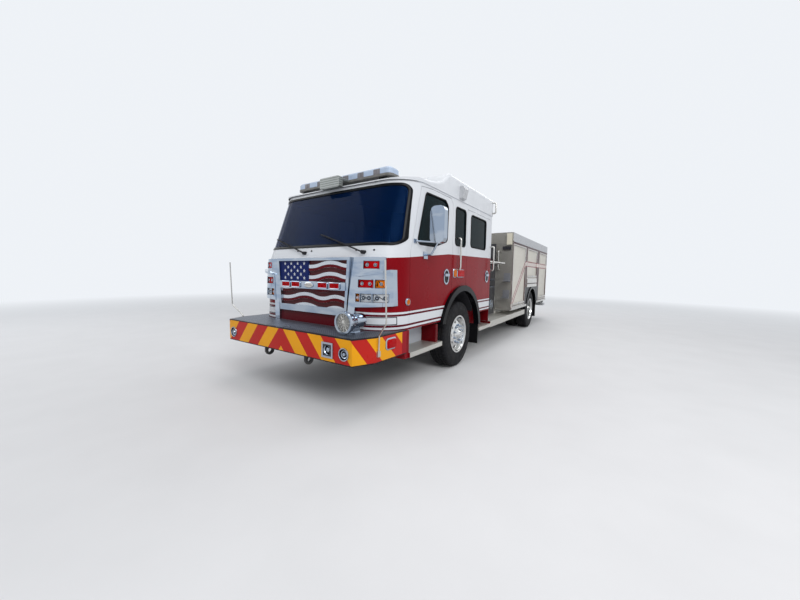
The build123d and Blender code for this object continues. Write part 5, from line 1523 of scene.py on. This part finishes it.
def pillow(bm, low, high, depth, axis, cells):
    """A padded block that swells between its edges, with three sewn channels across its broad face."""
    low, high = Vector(low), Vector(high)
    block = bmesh.new()
    bmesh.ops.create_cube(block, size=2.0)
    bmesh.ops.subdivide_edges(block, edges=block.edges[:], cuts=cells, use_grid_fill=True)
    half = (high - low) / 2
    middle = (low + high) / 2
    channel_pitch, channel_sharpness, face_edge = 1.5, 9, 0.8
    for vert in block.verts:
        p = vert.co.copy()
        swell = [1 - abs(p[k]) ** 4 for k in range(3)]
        for k in range(3):
            p[k] *= 0.9 + 0.1 * swell[k - 1] * swell[k - 2]
        groove = max(0.0, 1 - channel_sharpness * abs(math.sin(p[0] * math.pi * channel_pitch)))
        if abs(p[axis]) > face_edge:
            p[axis] -= math.copysign(depth * groove, p[axis])
        vert.co = Vector([middle[k] + p[k] * half[k] for k in range(3)])
    mesh = bpy.data.meshes.new("pillow")
    block.to_mesh(mesh)
    block.free()
    bm.from_mesh(mesh)
    bpy.data.meshes.remove(mesh)


def make_interior(look):
    """Floor, dashboard, and padded seats on plain frames in place of the solid ones."""
    dress_faces(
        "cab_floor", (look.mat, look.shaded_red),
        lambda middle, normal: int(abs(middle.x) > 0.93 and middle.z < 0.9 and abs(normal.x) > 0.7),
    )
    dress("dashboard", look.plastic)
    for k, (x, rear, top) in enumerate(SEATS):
        def build(bm):
            for half, front, back, bottom, crest, depth, axis, cells in PADS:
                low = (x - half, at(rear - front), top + bottom)
                high = (x + half, at(rear - back), top + crest)
                pillow(bm, low, high, depth, axis, cells)

        cushion = piece(f"seat_cushions_{k + 1}", build, "chassis", look.cloth, 60.0)

    def frames(bm):
        for x, rear, top in SEATS:
            base = 1.106 if x == 0 else 0.891
            box(bm, (x - 0.17, at(rear - 0.44), base), (x + 0.17, at(rear - 0.2), top - 0.125), 0.012)
            box(bm, (x - 0.2, at(rear - 0.03), top - 0.13), (x + 0.2, at(rear - 0.004), top + 0.3), 0.008)

    stands = piece("seat_frames", frames, "chassis", look.plastic)
    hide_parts("seats")


# Stage

# Place, size and power of each soft lamp, all aimed at the vehicle's middle
LAMPS = [
    ((9.0, -9.0, 8.5), 7.0, 800.0), ((-9.0, -8.0, 7.0), 8.0, 260.0),
    ((2.0, 10.0, 9.0), 9.0, 340.0), ((0.5, -0.5, 10.0), 8.0, 300.0),
]
LAMP_TARGET = Vector((0.0, -1.0, 1.2))

# The photograph's camera: place, turn in degrees, focal length in pixels and width of the picture in pixels
CAMERA_PLACE = (3.264, -7.395, 1.499)
CAMERA_YAW, CAMERA_PITCH, CAMERA_ROLL = 33.874, -4.638, 0.924
FOCAL_PIXELS = 318.3
PICTURE_WIDTH = 800.0
SENSOR_WIDTH = 36.0

# The floor shows its own grey up to the first distance from the middle, and only the background past
# the second one
FLOOR_HALF = 60.0
FLOOR_FADE = (6.5, 20.0)


def make_floor(scene):
    """Pale floor that keeps the shadow, fades into the background and can't be seen from below."""
    mesh = bpy.data.meshes.new("studio_floor")
    bm = bmesh.new()
    bmesh.ops.create_grid(bm, x_segments=2, y_segments=2, size=FLOOR_HALF)
    bm.to_mesh(mesh)
    bm.free()
    floor = bpy.data.objects.new("studio_floor", mesh)
    floor.location.z = -0.001
    scene.collection.objects.link(floor)
    pale = Finish("studio_floor", FLOOR_GREY, 0.8)
    pale.colour(pale.vary(FLOOR_GREY, 0.04, 1.5))
    pale.bump(pale.noise(90.0, 4.0), 0.002, 0.15)
    far = pale.math("SQRT", pale.plus(pale.times(pale.x, pale.x), pale.times(pale.y, pale.y)))
    glow = pale.tree.nodes.new("ShaderNodeEmission")
    glow.inputs["Color"].default_value = (*BACKGROUND, 1.0)
    under = pale.tree.nodes.new("ShaderNodeNewGeometry")
    clear = pale.tree.nodes.new("ShaderNodeBsdfTransparent")
    two_sided = pale.tree.nodes.new("ShaderNodeMixShader")
    blend = pale.tree.nodes.new("ShaderNodeMixShader")
    pale.set(blend.inputs[0], pale.ramp(far, *FLOOR_FADE))
    pale.tree.links.new(pale.shader.outputs[0], blend.inputs[1])
    pale.tree.links.new(glow.outputs[0], blend.inputs[2])
    pale.tree.links.new(under.outputs["Backfacing"], two_sided.inputs[0])
    pale.tree.links.new(blend.outputs[0], two_sided.inputs[1])
    pale.tree.links.new(clear.outputs[0], two_sided.inputs[2])
    pale.tree.links.new(two_sided.outputs[0], pale.tree.nodes["Material Output"].inputs["Surface"])
    mesh.materials.append(pale.material)


def make_world(scene):
    """A plain pale world: full strength to the eye, in metal and through glass, half as light."""
    world = bpy.data.worlds.new("studio")
    world.use_nodes = True
    tree = world.node_tree
    background = tree.nodes["Background"]
    background.inputs["Color"].default_value = (*BACKGROUND, 1.0)
    path = tree.nodes.new("ShaderNodeLightPath")
    seen = path.outputs["Is Camera Ray"]
    for ray in ("Is Glossy Ray", "Is Transmission Ray"):
        either = tree.nodes.new("ShaderNodeMath")
        either.operation = "MAXIMUM"
        tree.links.new(seen, either.inputs[0])
        tree.links.new(path.outputs[ray], either.inputs[1])
        seen = either.outputs[0]
    level = tree.nodes.new("ShaderNodeMapRange")
    tree.links.new(seen, level.inputs[0])
    level.inputs["To Min"].default_value = 0.5
    level.inputs["To Max"].default_value = 1.0
    tree.links.new(level.outputs[0], background.inputs["Strength"])
    scene.world = world


def make_lamps(scene):
    """Four soft round lamps."""
    for k, (place, size, power) in enumerate(LAMPS):
        data = bpy.data.lights.new(f"softbox_{k + 1}", "AREA")
        data.shape = "DISK"
        data.size = size
        data.energy = power
        lamp = bpy.data.objects.new(f"softbox_{k + 1}", data)
        lamp.location = place
        lamp.rotation_euler = (LAMP_TARGET - Vector(place)).to_track_quat("-Z", "Y").to_euler()
        scene.collection.objects.link(lamp)


def make_camera(scene):
    """The photograph's camera."""
    camera = bpy.data.cameras.new("camera")
    camera.sensor_width = SENSOR_WIDTH
    camera.lens = SENSOR_WIDTH * FOCAL_PIXELS / PICTURE_WIDTH
    holder = bpy.data.objects.new("camera", camera)
    yaw, pitch, roll = (math.radians(angle) for angle in (CAMERA_YAW, CAMERA_PITCH, CAMERA_ROLL))
    holder.location = CAMERA_PLACE
    tilt = Matrix.Rotation(math.pi / 2 + pitch, 3, "X")
    turn = Matrix.Rotation(yaw, 3, "Z") @ tilt @ Matrix.Rotation(roll, 3, "Z")
    holder.rotation_euler = turn.to_euler()
    scene.collection.objects.link(holder)
    scene.camera = holder


# Operators and panel


class Look:
    """The finishes, shared by the operators of one run."""

    made = None

    @classmethod
    def get(cls, context):
        if cls.made is None:
            cls.made = Materials(context.scene.engine_paint)
        return cls.made


class ENGINE_OT_wheels(bpy.types.Operator):
    """Road tyres with their tread, polished wheels and their nuts"""

    bl_idname = "engine.wheels"
    bl_label = "Wheels and Tyres"

    def execute(self, context):
        look = Look.get(context)
        make_tyres(look, context.scene.engine_tyres)
        make_wheel_nuts(look, context.scene.engine_tyres)
        return {"FINISHED"}


class ENGINE_OT_cab(bpy.types.Operator):
    """Cab paint, glass and window seals"""

    bl_idname = "engine.cab"
    bl_label = "Cab"

    def execute(self, context):
        look = Look.get(context)
        make_cab_finish(look)
        make_seals(look, context.scene.engine_seals)
        make_mirrors(look)
        return {"FINISHED"}


class ENGINE_OT_front(bpy.types.Operator):
    """Bumper, grille and lamps"""

    bl_idname = "engine.front"
    bl_label = "Front and Lamps"

    def execute(self, context):
        look = Look.get(context)
        make_front_finish(look)
        make_lamp_finish(look)
        make_grille_details(look)
        make_lamp_details(look)
        make_bumper_details(look)
        return {"FINISHED"}


class ENGINE_OT_body(bpy.types.Operator):
    """Body, shutters, steps and pump panels"""

    bl_idname = "engine.body"
    bl_label = "Body and Pump"

    def execute(self, context):
        look = Look.get(context)
        make_body_details(look)
        make_body_finish(look, context.scene.engine_paint)
        make_chassis_finish(look)
        return {"FINISHED"}


class ENGINE_OT_interior(bpy.types.Operator):
    """Floor, dashboard and seats"""

    bl_idname = "engine.interior"
    bl_label = "Interior"

    def execute(self, context):
        make_interior(Look.get(context))
        return {"FINISHED"}


class ENGINE_OT_stage(bpy.types.Operator):
    """Floor, lamps and camera"""

    bl_idname = "engine.stage"
    bl_label = "Stage"

    def execute(self, context):
        scene = context.scene
        scene.view_settings.view_transform = "Standard"
        make_floor(scene)
        make_world(scene)
        make_lamps(scene)
        make_camera(scene)
        return {"FINISHED"}


OPERATORS = (
    ENGINE_OT_wheels, ENGINE_OT_cab, ENGINE_OT_front, ENGINE_OT_body, ENGINE_OT_interior, ENGINE_OT_stage,
)


class ENGINE_PT_dressing(bpy.types.Panel):
    """The steps of the dressing and their settings"""

    bl_idname = "ENGINE_PT_dressing"
    bl_label = "Fire Engine"
    bl_space_type = "VIEW_3D"
    bl_region_type = "UI"
    bl_category = "Fire Engine"

    def draw(self, context):
        for operator in OPERATORS:
            self.layout.operator(operator.bl_idname)
        for settings in ("engine_paint", "engine_tyres", "engine_seals"):
            group = getattr(context.scene, settings)
            for name in group.__annotations__:
                self.layout.prop(group, name)


GROUPS = (PaintSettings, TyreSettings, SealSettings)


def register():
    """Registers the classes and gives the scene its settings."""
    for cls in (*GROUPS, *OPERATORS, ENGINE_PT_dressing):
        bpy.utils.register_class(cls)
    bpy.types.Scene.engine_paint = PointerProperty(type=PaintSettings)
    bpy.types.Scene.engine_tyres = PointerProperty(type=TyreSettings)
    bpy.types.Scene.engine_seals = PointerProperty(type=SealSettings)


def unregister():
    """Takes the settings and classes out again."""
    for name in ("engine_paint", "engine_tyres", "engine_seals"):
        delattr(bpy.types.Scene, name)
    for cls in reversed((*GROUPS, *OPERATORS, ENGINE_PT_dressing)):
        bpy.utils.unregister_class(cls)


def main():
    """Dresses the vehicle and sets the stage."""
    register()
    for name in ("wheels", "cab", "front", "body", "interior", "stage"):
        getattr(bpy.ops.engine, name)()


if __name__ == "__main__":
    main()
